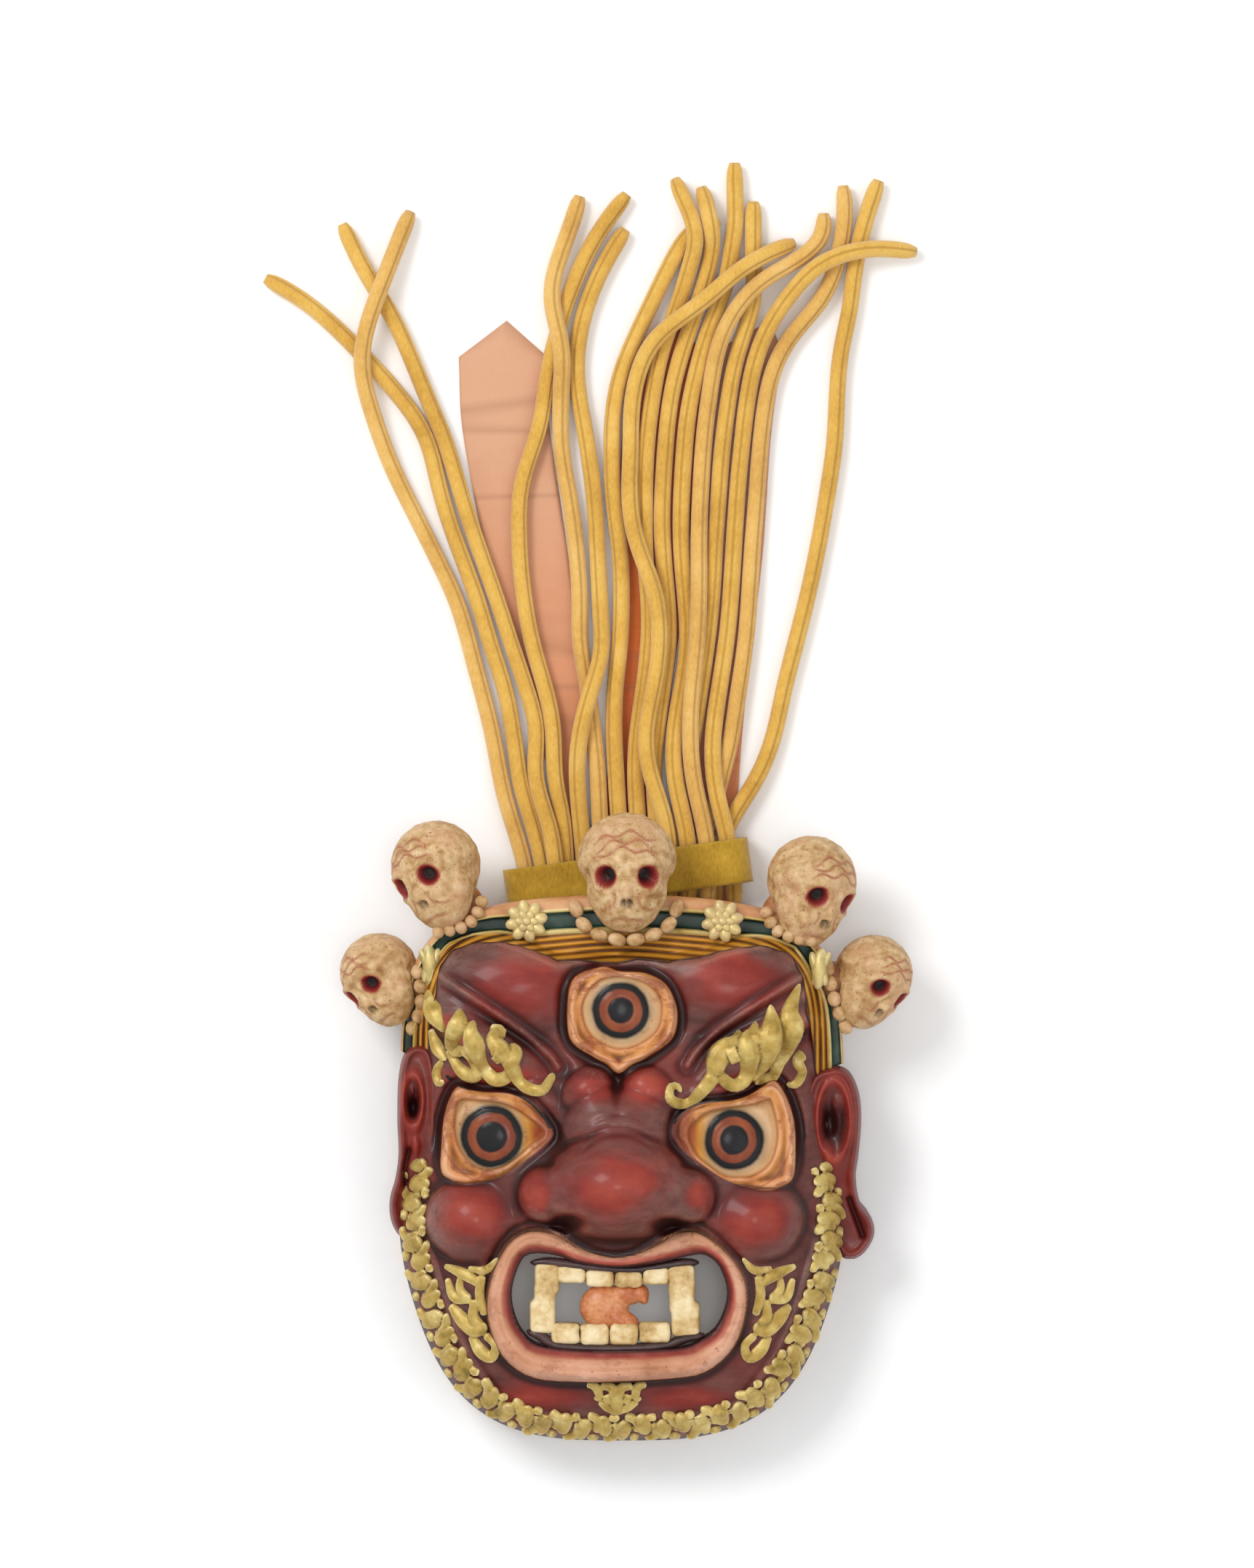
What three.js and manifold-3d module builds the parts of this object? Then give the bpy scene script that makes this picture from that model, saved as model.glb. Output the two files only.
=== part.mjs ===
// Carved wooden dance mask of a wrathful, three-eyed protector with a crown of five skulls.
// It lies face up on its back rim. Felt hair cords and cloth ribbons run out from behind the crown.
// Millimetres, +X to the mask's left ear, +Y from chin to hair, +Z out of the face.
import * as THREE from 'three';
import { mergeVertices } from 'three/addons/utils/BufferGeometryUtils.js';
import Module from 'manifold-3d';

const wasm = await Module();
wasm.setup();
const { Manifold, Mesh } = wasm;

// ---- driving sizes ----
const frameShift = [2.0, 143.5];      // from the point between the eyes to the frame's origin
const outline = {
  centreY: -20,
  halfWidth: 119,
  top: 140,                           // centre to the top of the forehead
  bottom: 154,                        // centre to the chin
  topCorner: 3.4,                     // higher is squarer
  jawCorner: 2.6,
};
const dome = { rim: 40, rise: 54, fall: 2.5, round: 0.6 };
const hollow = { wall: 12, height: 82, fall: 2.6 };
const shellFacets = { around: 36, across: 7 };
const hollowFacets = { around: 24, across: 5 };

const crown = { low: 36, high: 68, out: 17, from: 14, to: 166 };
const cordRadius = 4.9;
const cordGap = 0.35;
const cordSteps = 14;
const cordSides = 8;
const settle = { turns: 190, firm: 220, layer: 5, sink: 0.7, keep: 0.05, stiff: 0.25 };
const ribbonThick = 1.2;
const band = { thick: 2.2, length: 26, height: 28, left: -67, right: 74, middle: 147, turn: 7.8 };

const colours = {
  carving: 0x7a2a22,
  felt: 0xd9a441,
  feltPale: 0xe6bd76,
  feltBand: 0xa8852a,
  silk: 0xf0a67c,
  silkDeep: 0xd96a2c,
};

// ---- manifold helpers ----
function toSolid(geometry) {
  const bare = new THREE.BufferGeometry();
  bare.setAttribute('position', geometry.getAttribute('position').clone());
  if (geometry.index) bare.setIndex(geometry.index.clone());
  const welded = mergeVertices(bare, 1e-4);
  return new Manifold(new Mesh({
    numProp: 3,
    vertProperties: Float32Array.from(welded.attributes.position.array),
    triVerts: Uint32Array.from(welded.index.array),
  }));
}

function toGeometry(solid) {
  const mesh = solid.getMesh();
  const geometry = new THREE.BufferGeometry();
  geometry.setAttribute('position', new THREE.BufferAttribute(mesh.vertProperties, 3));
  geometry.setIndex(new THREE.BufferAttribute(mesh.triVerts, 1));
  return geometry;
}

// An ellipsoid placed by its centre, half sizes and turn about Z (degrees), then tilt about X.
function ball([x, y, z], [a, b, c], turn = 0, tilt = 0, round = 8) {
  const geometry = new THREE.SphereGeometry(1, round, Math.max(4, Math.round(round * 0.5)));
  geometry.scale(a, b, c);
  geometry.rotateX(THREE.MathUtils.degToRad(tilt));
  geometry.rotateZ(THREE.MathUtils.degToRad(turn));
  geometry.translate(x, y, z);
  return toSolid(geometry);
}

function block(shape, low, high, bevel = 0) {
  const geometry = new THREE.ExtrudeGeometry(shape, {
    depth: high - low - 2 * bevel,
    bevelEnabled: bevel > 0,
    bevelThickness: bevel,
    bevelSize: bevel,
    bevelSegments: 1,
    curveSegments: 5,
  });
  geometry.translate(0, 0, low + bevel);
  return toSolid(geometry);
}

function ellipseShape(x, y, a, b) {
  const shape = new THREE.Shape();
  shape.absellipse(x, y, a, b, 0, 2 * Math.PI);
  return shape;
}

// ---- the face shell ----
function outlineRadius(angle, inset = 0) {
  const c = Math.abs(Math.cos(angle));
  const s = Math.sin(angle);
  const corner = s > 0 ? outline.topCorner : outline.jawCorner;
  const across = outline.halfWidth - inset;
  const along = (s > 0 ? outline.top : outline.bottom) - inset;
  return ((c / across) ** corner + (Math.abs(s) / along) ** corner) ** (-1 / corner);
}

// A closed dome over the outline: flat base, upright wall, rounded top.
function domeSolid(inset, base, wallTop, rise, fall, round, { around, across }) {
  const points = [0, outline.centreY, wallTop + rise];
  for (let ring = 1; ring <= across; ring += 1) {
    const share = Math.sin((ring / across) * Math.PI / 2);
    const height = wallTop + rise * (1 - share ** fall) ** round;
    for (let step = 0; step < around; step += 1) {
      const angle = (step / around) * 2 * Math.PI;
      const radius = share * outlineRadius(angle, inset);
      points.push(radius * Math.cos(angle), outline.centreY + radius * Math.sin(angle), height);
    }
  }
  const lower = 1 + around * across;
  for (let step = 0; step < around; step += 1) {
    const angle = (step / around) * 2 * Math.PI;
    const radius = outlineRadius(angle, inset);
    points.push(radius * Math.cos(angle), outline.centreY + radius * Math.sin(angle), base);
  }
  points.push(0, outline.centreY, base);
  const hub = lower + around;
  const faces = [];
  for (let step = 0; step < around; step += 1) {
    const next = (step + 1) % around;
    faces.push(0, 1 + step, 1 + next);
    for (let ring = 0; ring < across; ring += 1) {
      const a = 1 + ring * around + step;
      const b = 1 + ring * around + next;
      faces.push(a, a + around, b + around, a, b + around, b);
    }
    faces.push(hub, lower + next, lower + step);
  }
  const geometry = new THREE.BufferGeometry();
  geometry.setAttribute('position', new THREE.Float32BufferAttribute(points, 3));
  geometry.setIndex(faces);
  return toSolid(geometry);
}

function domeHeight(x, y) {
  const angle = Math.atan2(y - outline.centreY, x);
  const share = Math.min(1, Math.hypot(x, y - outline.centreY) / outlineRadius(angle));
  return dome.rim + dome.rise * (1 - share ** dome.fall) ** dome.round;
}

const shell = domeSolid(0, 0, dome.rim, dome.rise, dome.fall, dome.round, shellFacets);
const cavity = domeSolid(hollow.wall, -5, 2, hollow.height, hollow.fall, 0.5, hollowFacets);

// ---- features of the face ----
const nose = [
  ball([-2, -26, 96], [37, 31, 36], 0, 0, 12),
  ball([-40, -30, 84], [17, 19, 19]),
  ball([36, -32, 84], [17, 19, 19]),
  ball([-2, 4, 92], [28, 16, 14]),
];

const eyes = [
  ball([-74, 0, 74], [34, 27, 18], -6, 0, 10),
  ball([65, -1, 74], [34, 27, 18], 6, 0, 10),
  ball([0, 68, 80], [31, 31, 15], 0, 0, 10),
];

const brows = [-1, 1].flatMap((side) => [
  ball([side * 60, 82, 72], [48, 30, 20], side * 14),
  ball([side * 66, 58, 76], [44, 12, 16], side * 30),
  ball([side * 19, 27, 90], [17, 13, 15]),
  ball([side * 76, 48, 84], [34, 11, 9], side * 28, 0, 8),
  ball([side * 76, -45, 70], [27, 25, 22]),
]);

// Lips: a raised ring that dips under the nose.
const mouth = { x: -3, y: -93, halfWidth: 61, halfHeight: 24, lip: 13, dip: 15 };

function lipShape(grow) {
  const shape = new THREE.Shape();
  const steps = 24;
  for (let step = 0; step < steps; step += 1) {
    const angle = (step / steps) * 2 * Math.PI;
    const c = Math.cos(angle);
    const s = Math.sin(angle);
    const square = (Math.abs(c) ** 3 + Math.abs(s) ** 3) ** (-1 / 3);
    const dip = s > 0 ? mouth.dip * 0.4 * s * Math.exp(-((c / 0.4) ** 2)) * (grow > 0 ? 1.6 : 0.4) : 0;
    const x = mouth.x + (mouth.halfWidth + grow) * square * c;
    const y = mouth.y + (mouth.halfHeight + grow * 1.35) * square * s - dip;
    if (step === 0) shape.moveTo(x, y);
    else shape.lineTo(x, y);
  }
  shape.closePath();
  return shape;
}

const lips = block(lipShape(mouth.lip), 50, 92);
const mouthRecess = block(lipShape(0), 74, 140);
const teeth = [];
for (const row of [{ y: -77, half: 6 }, { y: -111, half: 6.5 }]) {
  for (const x of [-29, -12, 6, 22]) {
    teeth.push(block(new THREE.Shape([
      new THREE.Vector2(x - 8, row.y - row.half),
      new THREE.Vector2(x + 8, row.y - row.half),
      new THREE.Vector2(x + 8, row.y + row.half),
      new THREE.Vector2(x - 8, row.y + row.half),
    ]), 66, 86));
  }
}
for (const x of [-45, 34]) {
  teeth.push(block(ellipseShape(x, -92, 7, 20), 66, 89));
}
teeth.push(ball([-8, -94, 76], [15, 11, 12]));
const mouthGaps = [
  block(ellipseShape(-57, -90, 5.5, 21), -5, 140),
  block(ellipseShape(-29, -93, 7.5, 10), -5, 140),
  block(ellipseShape(17, -93, 8, 10), -5, 140),
  block(ellipseShape(51, -91, 8, 20), -5, 140),
];

// ---- ears ----
const ears = [
  ball([-118, -2, 42], [9, 54, 24], 2, 0, 10),
  ball([-124, -42, 36], [8, 22, 14]),
  ball([117, 8, 42], [17, 42, 26], 0, 0, 10),
  ball([124, -30, 36], [9, 30, 15]),
  ball([131, -52, 34], [12, 19, 12]),
];

// ---- beard of carved flames round the jaw: a scalloped rim and a tuft on the chin ----
const beard = { curls: 18, from: -182, to: 2, bulge: 4, depth: 15, low: 27, high: 48 };

function beardShape() {
  const outer = [];
  const inner = [];
  const steps = beard.curls * 3;
  for (let step = 0; step <= steps; step += 1) {
    const angle = THREE.MathUtils.degToRad(beard.from + ((beard.to - beard.from) / steps) * step);
    const swell = step % 3 === 0 ? 0 : beard.bulge;
    const radius = outlineRadius(angle) + 1 + swell;
    outer.push(new THREE.Vector2(radius * Math.cos(angle), outline.centreY + radius * Math.sin(angle)));
    if (step % 3 === 0) {
      const inside = outlineRadius(angle) - beard.depth;
      inner.push(new THREE.Vector2(inside * Math.cos(angle), outline.centreY + inside * Math.sin(angle)));
    }
  }
  return new THREE.Shape([...outer, ...inner.reverse()]);
}

const beardParts = [
  block(beardShape(), beard.low, beard.high),
  ball([-3, -147, 66], [16, 11, 10], 0, 0, 8),
];

// ---- crown: a raised band round the forehead, with two flowers ----
function crownShape() {
  const shape = new THREE.Shape();
  const steps = 16;
  const rim = [];
  for (let step = 0; step <= steps; step += 1) {
    const angle = THREE.MathUtils.degToRad(crown.from + ((crown.to - crown.from) / steps) * step);
    rim.push([angle, outlineRadius(angle)]);
  }
  const place = (angle, radius) => new THREE.Vector2(
    radius * Math.cos(angle),
    outline.centreY + radius * Math.sin(angle),
  );
  const outer = rim.map(([angle, radius]) => {
    const out = crown.out * (0.35 + 0.65 * Math.sin(angle) ** 2);
    return place(angle, radius + out);
  });
  const inner = rim.reverse().map(([angle, radius]) => place(angle, radius - 14));
  shape.setFromPoints([...outer, ...inner]);
  return shape;
}

const crownBand = [
  block(crownShape(), crown.low, crown.high),
  block(ellipseShape(-54, 122, 11, 11), crown.high - 6, crown.high + 6),
  block(ellipseShape(57, 122, 11, 11), crown.high - 6, crown.high + 6),
];

// ---- five skulls: placed by the cranium's centre, its radius, lean in the plan and turn outward ----
const skulls = [
  { at: [2, 155, 70], radius: 28, lean: 0, turn: 0 },
  { at: [-107, 151, 58], radius: 26, lean: 24, turn: -42 },
  { at: [-139, 92, 46], radius: 22.5, lean: 40, turn: -46 },
  { at: [107, 144, 58], radius: 26, lean: -24, turn: 42 },
  { at: [143, 92, 46], radius: 22.5, lean: -40, turn: 46 },
];

function skull({ at, radius, lean, turn }) {
  const r = radius;
  const parts = [
    ball([0, 0, 0], [r, r, r * 0.98], 0, 0, 12),
    ball([0, -r * 0.62, r * 0.2], [r * 0.74, r * 0.62, r * 0.66], 0, 0, 8),
    ball([0, -r * 1.02, r * 0.18], [r * 0.52, r * 0.46, r * 0.5], 0, 0, 8),
  ];
  const holes = [-1, 1].map((side) => (
    ball([side * r * 0.42, -r * 0.22, r * 0.92], [r * 0.2, r * 0.22, r * 0.3], 0, 0, 6)
  ));
  let solid = Manifold.union(parts);
  for (const hole of holes) solid = solid.subtract(hole);
  return solid.rotate([-14, 0, 0]).rotate([0, turn, 0]).rotate([0, 0, lean]).translate(at);
}

// Stubs that join each side skull to the crown.
const stubs = [
  ball([-95, 132, 52], [20, 20, 15], -40),
  ball([-116, 88, 44], [17, 14, 12], 0),
  ball([95, 126, 52], [20, 20, 15], 40),
  ball([118, 88, 44], [17, 14, 12], 0),
];

function buildMask() {
  let solid = Manifold.union([shell, ...nose, ...eyes, ...brows, ...ears, lips]);
  solid = solid.subtract(mouthRecess);
  solid = Manifold.union([solid, ...teeth, ...beardParts, ...crownBand, ...stubs, ...skulls.map(skull)]);
  solid = solid.subtract(cavity);
  for (const gap of mouthGaps) solid = solid.subtract(gap);
  const bodies = solid.simplify(0.7).decompose();
  return toGeometry(bodies.sort((a, b) => b.volume() - a.volume())[0]);
}

// ---- ribbons: centre line points [x, y, half width], then the pointed end ----
const ribbons = {
  ribbon_left: { line: [[-32, 130, 9], [-33, 190, 7], [-38, 250, 16], [-54, 330, 23], [-66, 400, 25], [-68, 444, 25.5]], tip: [-66, 465] },
  ribbon_middle: { line: [[2, 130, 15], [5, 190, 15], [12, 250, 16], [18, 330, 20], [22, 400, 22], [26, 446, 22]], tip: [28, 466] },
  ribbon_right: { line: [[46, 130, 16], [49, 190, 17], [53, 250, 18], [61, 330, 19.5], [65, 400, 20.5], [71, 446, 21]], tip: [85, 465] },
};

function ribbonShape({ line, tip }) {
  const middle = new THREE.SplineCurve(line.map(([x, y]) => new THREE.Vector2(x, y)));
  const half = new THREE.SplineCurve(line.map(([, y, w]) => new THREE.Vector2(w, y)));
  const steps = 9;
  const left = [];
  const right = [];
  for (let step = 0; step <= steps; step += 1) {
    const at = middle.getPoint(step / steps);
    const width = half.getPoint(step / steps).x;
    left.push(new THREE.Vector2(at.x - width, at.y));
    right.push(new THREE.Vector2(at.x + width, at.y));
  }
  return new THREE.Shape([...right, new THREE.Vector2(...tip), ...left.reverse()]);
}

// ---- felt band round the cords' roots ----
function bandGeometry() {
  const { thick, length, height, left, right } = band;
  const bottom = ribbonThick + 0.4;
  const loop = (inset) => {
    const shape = new THREE.Shape();
    const [x0, x1, z0, z1] = [left + inset, right - inset, bottom + inset, height - inset];
    const round = 8 - inset * 0.8;
    shape.moveTo(x0 + round, z0);
    shape.lineTo(x1 - round, z0);
    shape.absarc(x1 - round, z0 + round, round, -Math.PI / 2, 0);
    shape.absarc(x1 - round, z1 - round, round, 0, Math.PI / 2);
    shape.absarc(x0 + round, z1 - round, round, Math.PI / 2, Math.PI);
    shape.absarc(x0 + round, z0 + round, round, Math.PI, Math.PI * 1.5);
    return shape;
  };
  const shape = loop(0);
  shape.holes.push(loop(thick));
  const geometry = new THREE.ExtrudeGeometry(shape, { depth: length, bevelEnabled: false, curveSegments: 3 });
  geometry.rotateX(Math.PI / 2);
  geometry.translate(-(left + right) / 2, length / 2, 0);
  geometry.rotateZ(THREE.MathUtils.degToRad(band.turn));
  geometry.translate((left + right) / 2, band.middle, 0);
  return geometry;
}

// ---- hair cords: plan routes from root to tip, each resting on those listed before it ----
const routes = [
  [
    [-39, 130], [-41, 149], [-44, 170], [-49, 190], [-56, 211], [-61, 230], [-67, 255],
    [-75, 279], [-82, 304], [-91, 329], [-99, 352], [-104, 375], [-107, 393], [-117, 409],
    [-135, 426], [-151, 442], [-168, 462], [-183, 477], [-204, 489],
  ],
  [
    [-28, 130], [-29, 151], [-32, 172], [-36, 187], [-41, 203], [-41, 224], [-44, 248],
    [-50, 273], [-55, 298], [-58, 323], [-59, 348], [-58, 371], [-51, 391], [-43, 411],
    [-39, 433], [-36, 453], [-32, 476], [-23, 499], [-10, 520], [3, 537],
  ],
  [
    [-17, 130], [-18, 153], [-18, 182], [-17, 207], [-18, 232], [-19, 261], [-22, 282],
    [-23, 302], [-25, 323], [-27, 344], [-30, 364], [-34, 383], [-37, 406], [-38, 426],
    [-37, 447], [-40, 470], [-39, 486], [-34, 505], [-28, 522], [-24, 536],
  ],
  [
    [-1, 130], [-2, 153], [-3, 182], [-4, 207], [-5, 232], [-4, 261], [-1, 286], [0, 315],
    [-1, 344], [-3, 373], [-3, 397], [-2, 422], [3, 445], [13, 465], [25, 482], [39, 499],
    [51, 513], [58, 522],
  ],
  [
    [10, 130], [10, 153], [10, 182], [10, 207], [12, 228], [16, 250], [19, 277], [21, 302],
    [19, 325], [17, 348], [14, 373], [14, 397], [17, 420], [21, 443], [28, 462], [33, 480],
    [37, 499], [37, 513], [32, 529], [30, 542],
  ],
  [
    [34, 130], [34, 153], [34, 178], [34, 199], [36, 224], [39, 253], [42, 277], [45, 306],
    [46, 335], [49, 360], [53, 387], [58, 414], [63, 439], [69, 464], [72, 482], [72, 503],
    [70, 520], [68, 533],
  ],
  [
    [45, 130], [46, 153], [52, 178], [55, 203], [60, 228], [66, 255], [70, 282], [72, 310],
    [74, 339], [77, 366], [79, 393], [82, 418], [87, 439], [97, 457], [111, 474], [120, 491],
    [125, 508], [128, 526], [126, 542],
  ],
  [
    [53, 130], [54, 147], [59, 167], [67, 184], [78, 202], [87, 226], [93, 255], [100, 282],
    [107, 310], [113, 339], [118, 368], [122, 395], [123, 420], [125, 447], [130, 470],
    [132, 493], [136, 513], [142, 532], [147, 545],
  ],
  [
    [22, 130], [22, 153], [21, 178], [20, 203], [22, 228], [24, 253], [27, 277], [27, 302],
    [24, 329], [22, 356], [24, 389], [28, 416], [34, 441], [41, 466], [45, 484], [46, 503],
    [44, 522], [39, 539],
  ],
  [
    [-34, 130], [-35, 151], [-39, 170], [-47, 185], [-53, 200], [-51, 213], [-47, 230],
    [-51, 248], [-58, 266], [-64, 282], [-72, 306], [-81, 331], [-90, 356], [-99, 381],
    [-107, 406], [-119, 439], [-130, 466], [-144, 492], [-160, 520],
  ],
  [
    [-45, 130], [-46, 151], [-52, 170], [-59, 185], [-65, 199], [-70, 215], [-76, 238],
    [-84, 267], [-92, 298], [-105, 327], [-118, 353], [-131, 379], [-141, 407], [-146, 433],
    [-144, 460], [-136, 489], [-128, 511], [-121, 527],
  ],
  [
    [-23, 130], [-24, 153], [-27, 178], [-27, 195], [-24, 215], [-21, 232], [-17, 255],
    [-13, 277], [-13, 306], [-14, 335], [-15, 360], [-18, 383], [-22, 406], [-26, 426],
    [-27, 443], [-24, 462], [-18, 481], [-9, 500], [2, 517],
  ],
  [
    [39, 130], [38, 153], [35, 178], [30, 203], [30, 230], [34, 255], [37, 282], [36, 306],
    [34, 331], [34, 356], [36, 383], [39, 410], [44, 435], [48, 460], [53, 480], [56, 499],
    [58, 518], [62, 537], [65, 555],
  ],
  [
    [28, 130], [27, 153], [23, 178], [15, 199], [11, 219], [14, 238], [20, 257], [23, 277],
    [21, 298], [15, 321], [11, 342], [10, 364], [10, 387], [7, 410], [7, 428], [14, 447],
    [29, 461], [46, 474], [62, 489], [77, 498], [89, 503], [99, 506],
  ],
  [
    [47, 130], [47, 153], [44, 178], [40, 203], [40, 228], [43, 257], [46, 286], [48, 315],
    [48, 339], [49, 364], [50, 389], [52, 416], [56, 439], [64, 457], [74, 472], [86, 485],
    [99, 496], [112, 506], [120, 516], [116, 526],
  ],
  [
    [53, 130], [53, 153], [51, 178], [49, 203], [51, 232], [55, 261], [59, 290], [61, 319],
    [62, 344], [64, 371], [67, 397], [70, 422], [75, 447], [84, 467], [96, 481], [110, 494],
    [128, 502], [148, 505], [168, 504],
  ],
];

const bandEnd = band.middle + band.length / 2 + 38;

function groundUnder(point) {
  const onBand = point.y < bandEnd ? 0.4 + band.thick : 0;
  return cordRadius + ribbonThick + cordGap + onBand;
}

// Moves the two ends of one stretch so that the place at `share` along it shifts by `push`.
function nudge(points, step, share, push, amount) {
  const weight = amount / ((1 - share) ** 2 + share ** 2);
  points[step].addScaledVector(push, weight * (1 - share));
  points[step + 1].addScaledVector(push, weight * share);
}

const between = new THREE.Vector3();
const place = new THREE.Vector3();
const nearest = new THREE.Vector3();

// Parts two cords wherever a place on the first comes too near a stretch of the second.
function part(first, second, reach) {
  const parts = 4;
  for (let step = 0; step < cordSteps; step += 1) {
    for (let cut = 0; cut < parts; cut += 1) {
      const share = cut / parts;
      place.copy(first[step]).lerp(first[step + 1], share);
      for (let other = 0; other < cordSteps; other += 1) {
        const start = second[other];
        if (Math.abs(start.x - place.x) < 45 && Math.abs(start.y - place.y) < 45) {
          between.subVectors(second[other + 1], start);
          const along = nearest.subVectors(place, start).dot(between) / between.lengthSq();
          const hold = THREE.MathUtils.clamp(along, 0, 1);
          nearest.copy(start).addScaledVector(between, hold);
          between.subVectors(nearest, place);
          const clear = between.length();
          if (clear < reach) {
            between.divideScalar(clear || 1);
            nudge(first, step, share, between, (clear - reach) / 2);
            nudge(second, other, hold, between, (reach - clear) / 2);
          }
        }
      }
    }
  }
}

// Lets the cords sink from their stacking order until they rest on the floor and on each other.
function layCords() {
  const reach = 2 * cordRadius + cordGap + 0.5;
  const cords = routes.map((route, rank) => new THREE.CatmullRomCurve3(
    route.map(([x, y]) => new THREE.Vector3(x, y, cordRadius + settle.layer * rank)),
  ).getSpacedPoints(cordSteps));
  const home = cords.map((points) => points.map((point) => point.clone()));
  for (let turn = 0; turn < settle.turns + settle.firm; turn += 1) {
    const sinking = turn < settle.turns;
    cords.forEach((points, rank) => points.forEach((point, index) => {
      if (sinking) {
        point.z -= settle.sink;
        point.x += (home[rank][index].x - point.x) * settle.keep;
        point.y += (home[rank][index].y - point.y) * settle.keep;
        if (index > 0 && index < cordSteps) {
          const level = (points[index - 1].z + points[index + 1].z) / 2;
          point.z += (level - point.z) * settle.stiff;
        }
      }
    }));
    cords.forEach((first, rank) => cords.forEach((second, other) => {
      if (rank !== other) part(first, second, reach);
    }));
    cords.forEach((points) => points.forEach((point) => {
      point.z = Math.max(point.z, groundUnder(point));
    }));
  }
  return cords;
}

class LaidCurve extends THREE.Curve {
  constructor(points) {
    super();
    this.points = points;
  }

  getPoint(share, target = new THREE.Vector3()) {
    const place = share * (this.points.length - 1);
    const index = Math.min(Math.floor(place), this.points.length - 2);
    return target.copy(this.points[index]).lerp(this.points[index + 1], place - index);
  }
}

function cordGeometry(points) {
  const section = new THREE.Shape();
  for (let side = 0; side < cordSides; side += 1) {
    const angle = (side / cordSides) * 2 * Math.PI;
    const x = cordRadius * Math.cos(angle);
    const y = cordRadius * Math.sin(angle);
    if (side === 0) section.moveTo(x, y);
    else section.lineTo(x, y);
  }
  section.closePath();
  return new THREE.ExtrudeGeometry(section, {
    steps: cordSteps,
    extrudePath: new LaidCurve(points),
    bevelEnabled: false,
  });
}

// ---- assembly ----
const group = new THREE.Group();
group.name = 'cham_mask';

function addNode(name, geometry, color, roughness) {
  const bare = new THREE.BufferGeometry();
  bare.setAttribute('position', geometry.getAttribute('position').clone());
  if (geometry.index) bare.setIndex(geometry.index.clone());
  bare.translate(-frameShift[0], -frameShift[1], 0);
  const material = new THREE.MeshStandardMaterial({ color, roughness, metalness: 0 });
  const mesh = new THREE.Mesh(mergeVertices(bare, 1e-4), material);
  mesh.name = name;
  group.add(mesh);
}

addNode('mask', buildMask(), colours.carving, 0.45);
addNode('hair_band', bandGeometry(), colours.feltBand, 0.95);
for (const [name, ribbon] of Object.entries(ribbons)) {
  const colour = name === 'ribbon_middle' ? colours.silkDeep : colours.silk;
  addNode(name, new THREE.ExtrudeGeometry(ribbonShape(ribbon), { depth: ribbonThick, bevelEnabled: false }), colour, 0.7);
}
layCords().forEach((points, index) => {
  const name = `hair_cord_${String(index + 1).padStart(2, '0')}`;
  addNode(name, cordGeometry(points), index % 4 === 2 ? colours.feltPale : colours.felt, 0.95);
});

export default group;
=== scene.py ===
import math
import random

import bmesh
import bpy
import numpy as np
from mathutils import Matrix, Vector


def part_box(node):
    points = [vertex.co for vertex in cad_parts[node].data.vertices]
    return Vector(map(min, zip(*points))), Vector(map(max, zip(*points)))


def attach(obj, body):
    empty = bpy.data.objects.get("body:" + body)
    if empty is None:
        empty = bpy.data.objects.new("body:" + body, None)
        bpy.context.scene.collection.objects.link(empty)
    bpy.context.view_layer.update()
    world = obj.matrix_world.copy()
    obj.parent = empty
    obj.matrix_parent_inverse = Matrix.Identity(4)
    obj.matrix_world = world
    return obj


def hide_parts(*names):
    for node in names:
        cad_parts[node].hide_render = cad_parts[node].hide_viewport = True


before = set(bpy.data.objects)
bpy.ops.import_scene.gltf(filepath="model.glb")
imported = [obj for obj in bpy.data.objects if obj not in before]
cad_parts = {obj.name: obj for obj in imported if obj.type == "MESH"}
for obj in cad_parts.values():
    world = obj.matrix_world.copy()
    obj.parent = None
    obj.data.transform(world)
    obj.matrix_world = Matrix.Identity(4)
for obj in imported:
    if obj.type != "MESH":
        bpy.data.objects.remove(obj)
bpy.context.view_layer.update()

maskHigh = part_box("mask")[1]
mm = 0.001
# the point between the eyes, which the sizes of the face start from
eyesMiddle = Vector((-0.002, maskHigh.y - 0.1824, 0))
dice = random.Random(11)

# camera, floor and lights
print("camera and lights")
stageSizes = {"viewHeight": 0.8926, "centreX": 0.0009, "centreY": 0.056, "distance": 6.0, "floor": 4.0,
              "sharpAt": 0.04}


lampSizes = [("key", (-1.4, 1.3, 2.6), 1.1, 46), ("fill", (1.6, -0.9, 2.8), 2.0, 14),
             ("overhead", (0.1, -0.1, 3.4), 0.6, 12)]  # name, place, width and watts


def makeCamera():
    data = bpy.data.cameras.new("camera")
    camera = bpy.data.objects.new("camera", data)
    bpy.context.scene.collection.objects.link(camera)
    camera.location = (stageSizes["centreX"], stageSizes["centreY"], stageSizes["distance"])
    data.sensor_width = 36
    reach = stageSizes["distance"] - stageSizes["sharpAt"]
    data.lens = data.sensor_width * reach / stageSizes["viewHeight"]
    data.clip_end = 50
    bpy.context.scene.camera = camera


def makeLamp(name, place, size, power, aimAt=(0, -0.05, 0.03)):
    data = bpy.data.lights.new(name, "AREA")
    data.size = size
    data.energy = power
    lamp = bpy.data.objects.new(name, data)
    bpy.context.scene.collection.objects.link(lamp)
    lamp.location = place
    aim = Vector(aimAt) - Vector(place)
    lamp.rotation_mode = "QUATERNION"
    lamp.rotation_quaternion = aim.to_track_quat("-Z", "Y")


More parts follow.
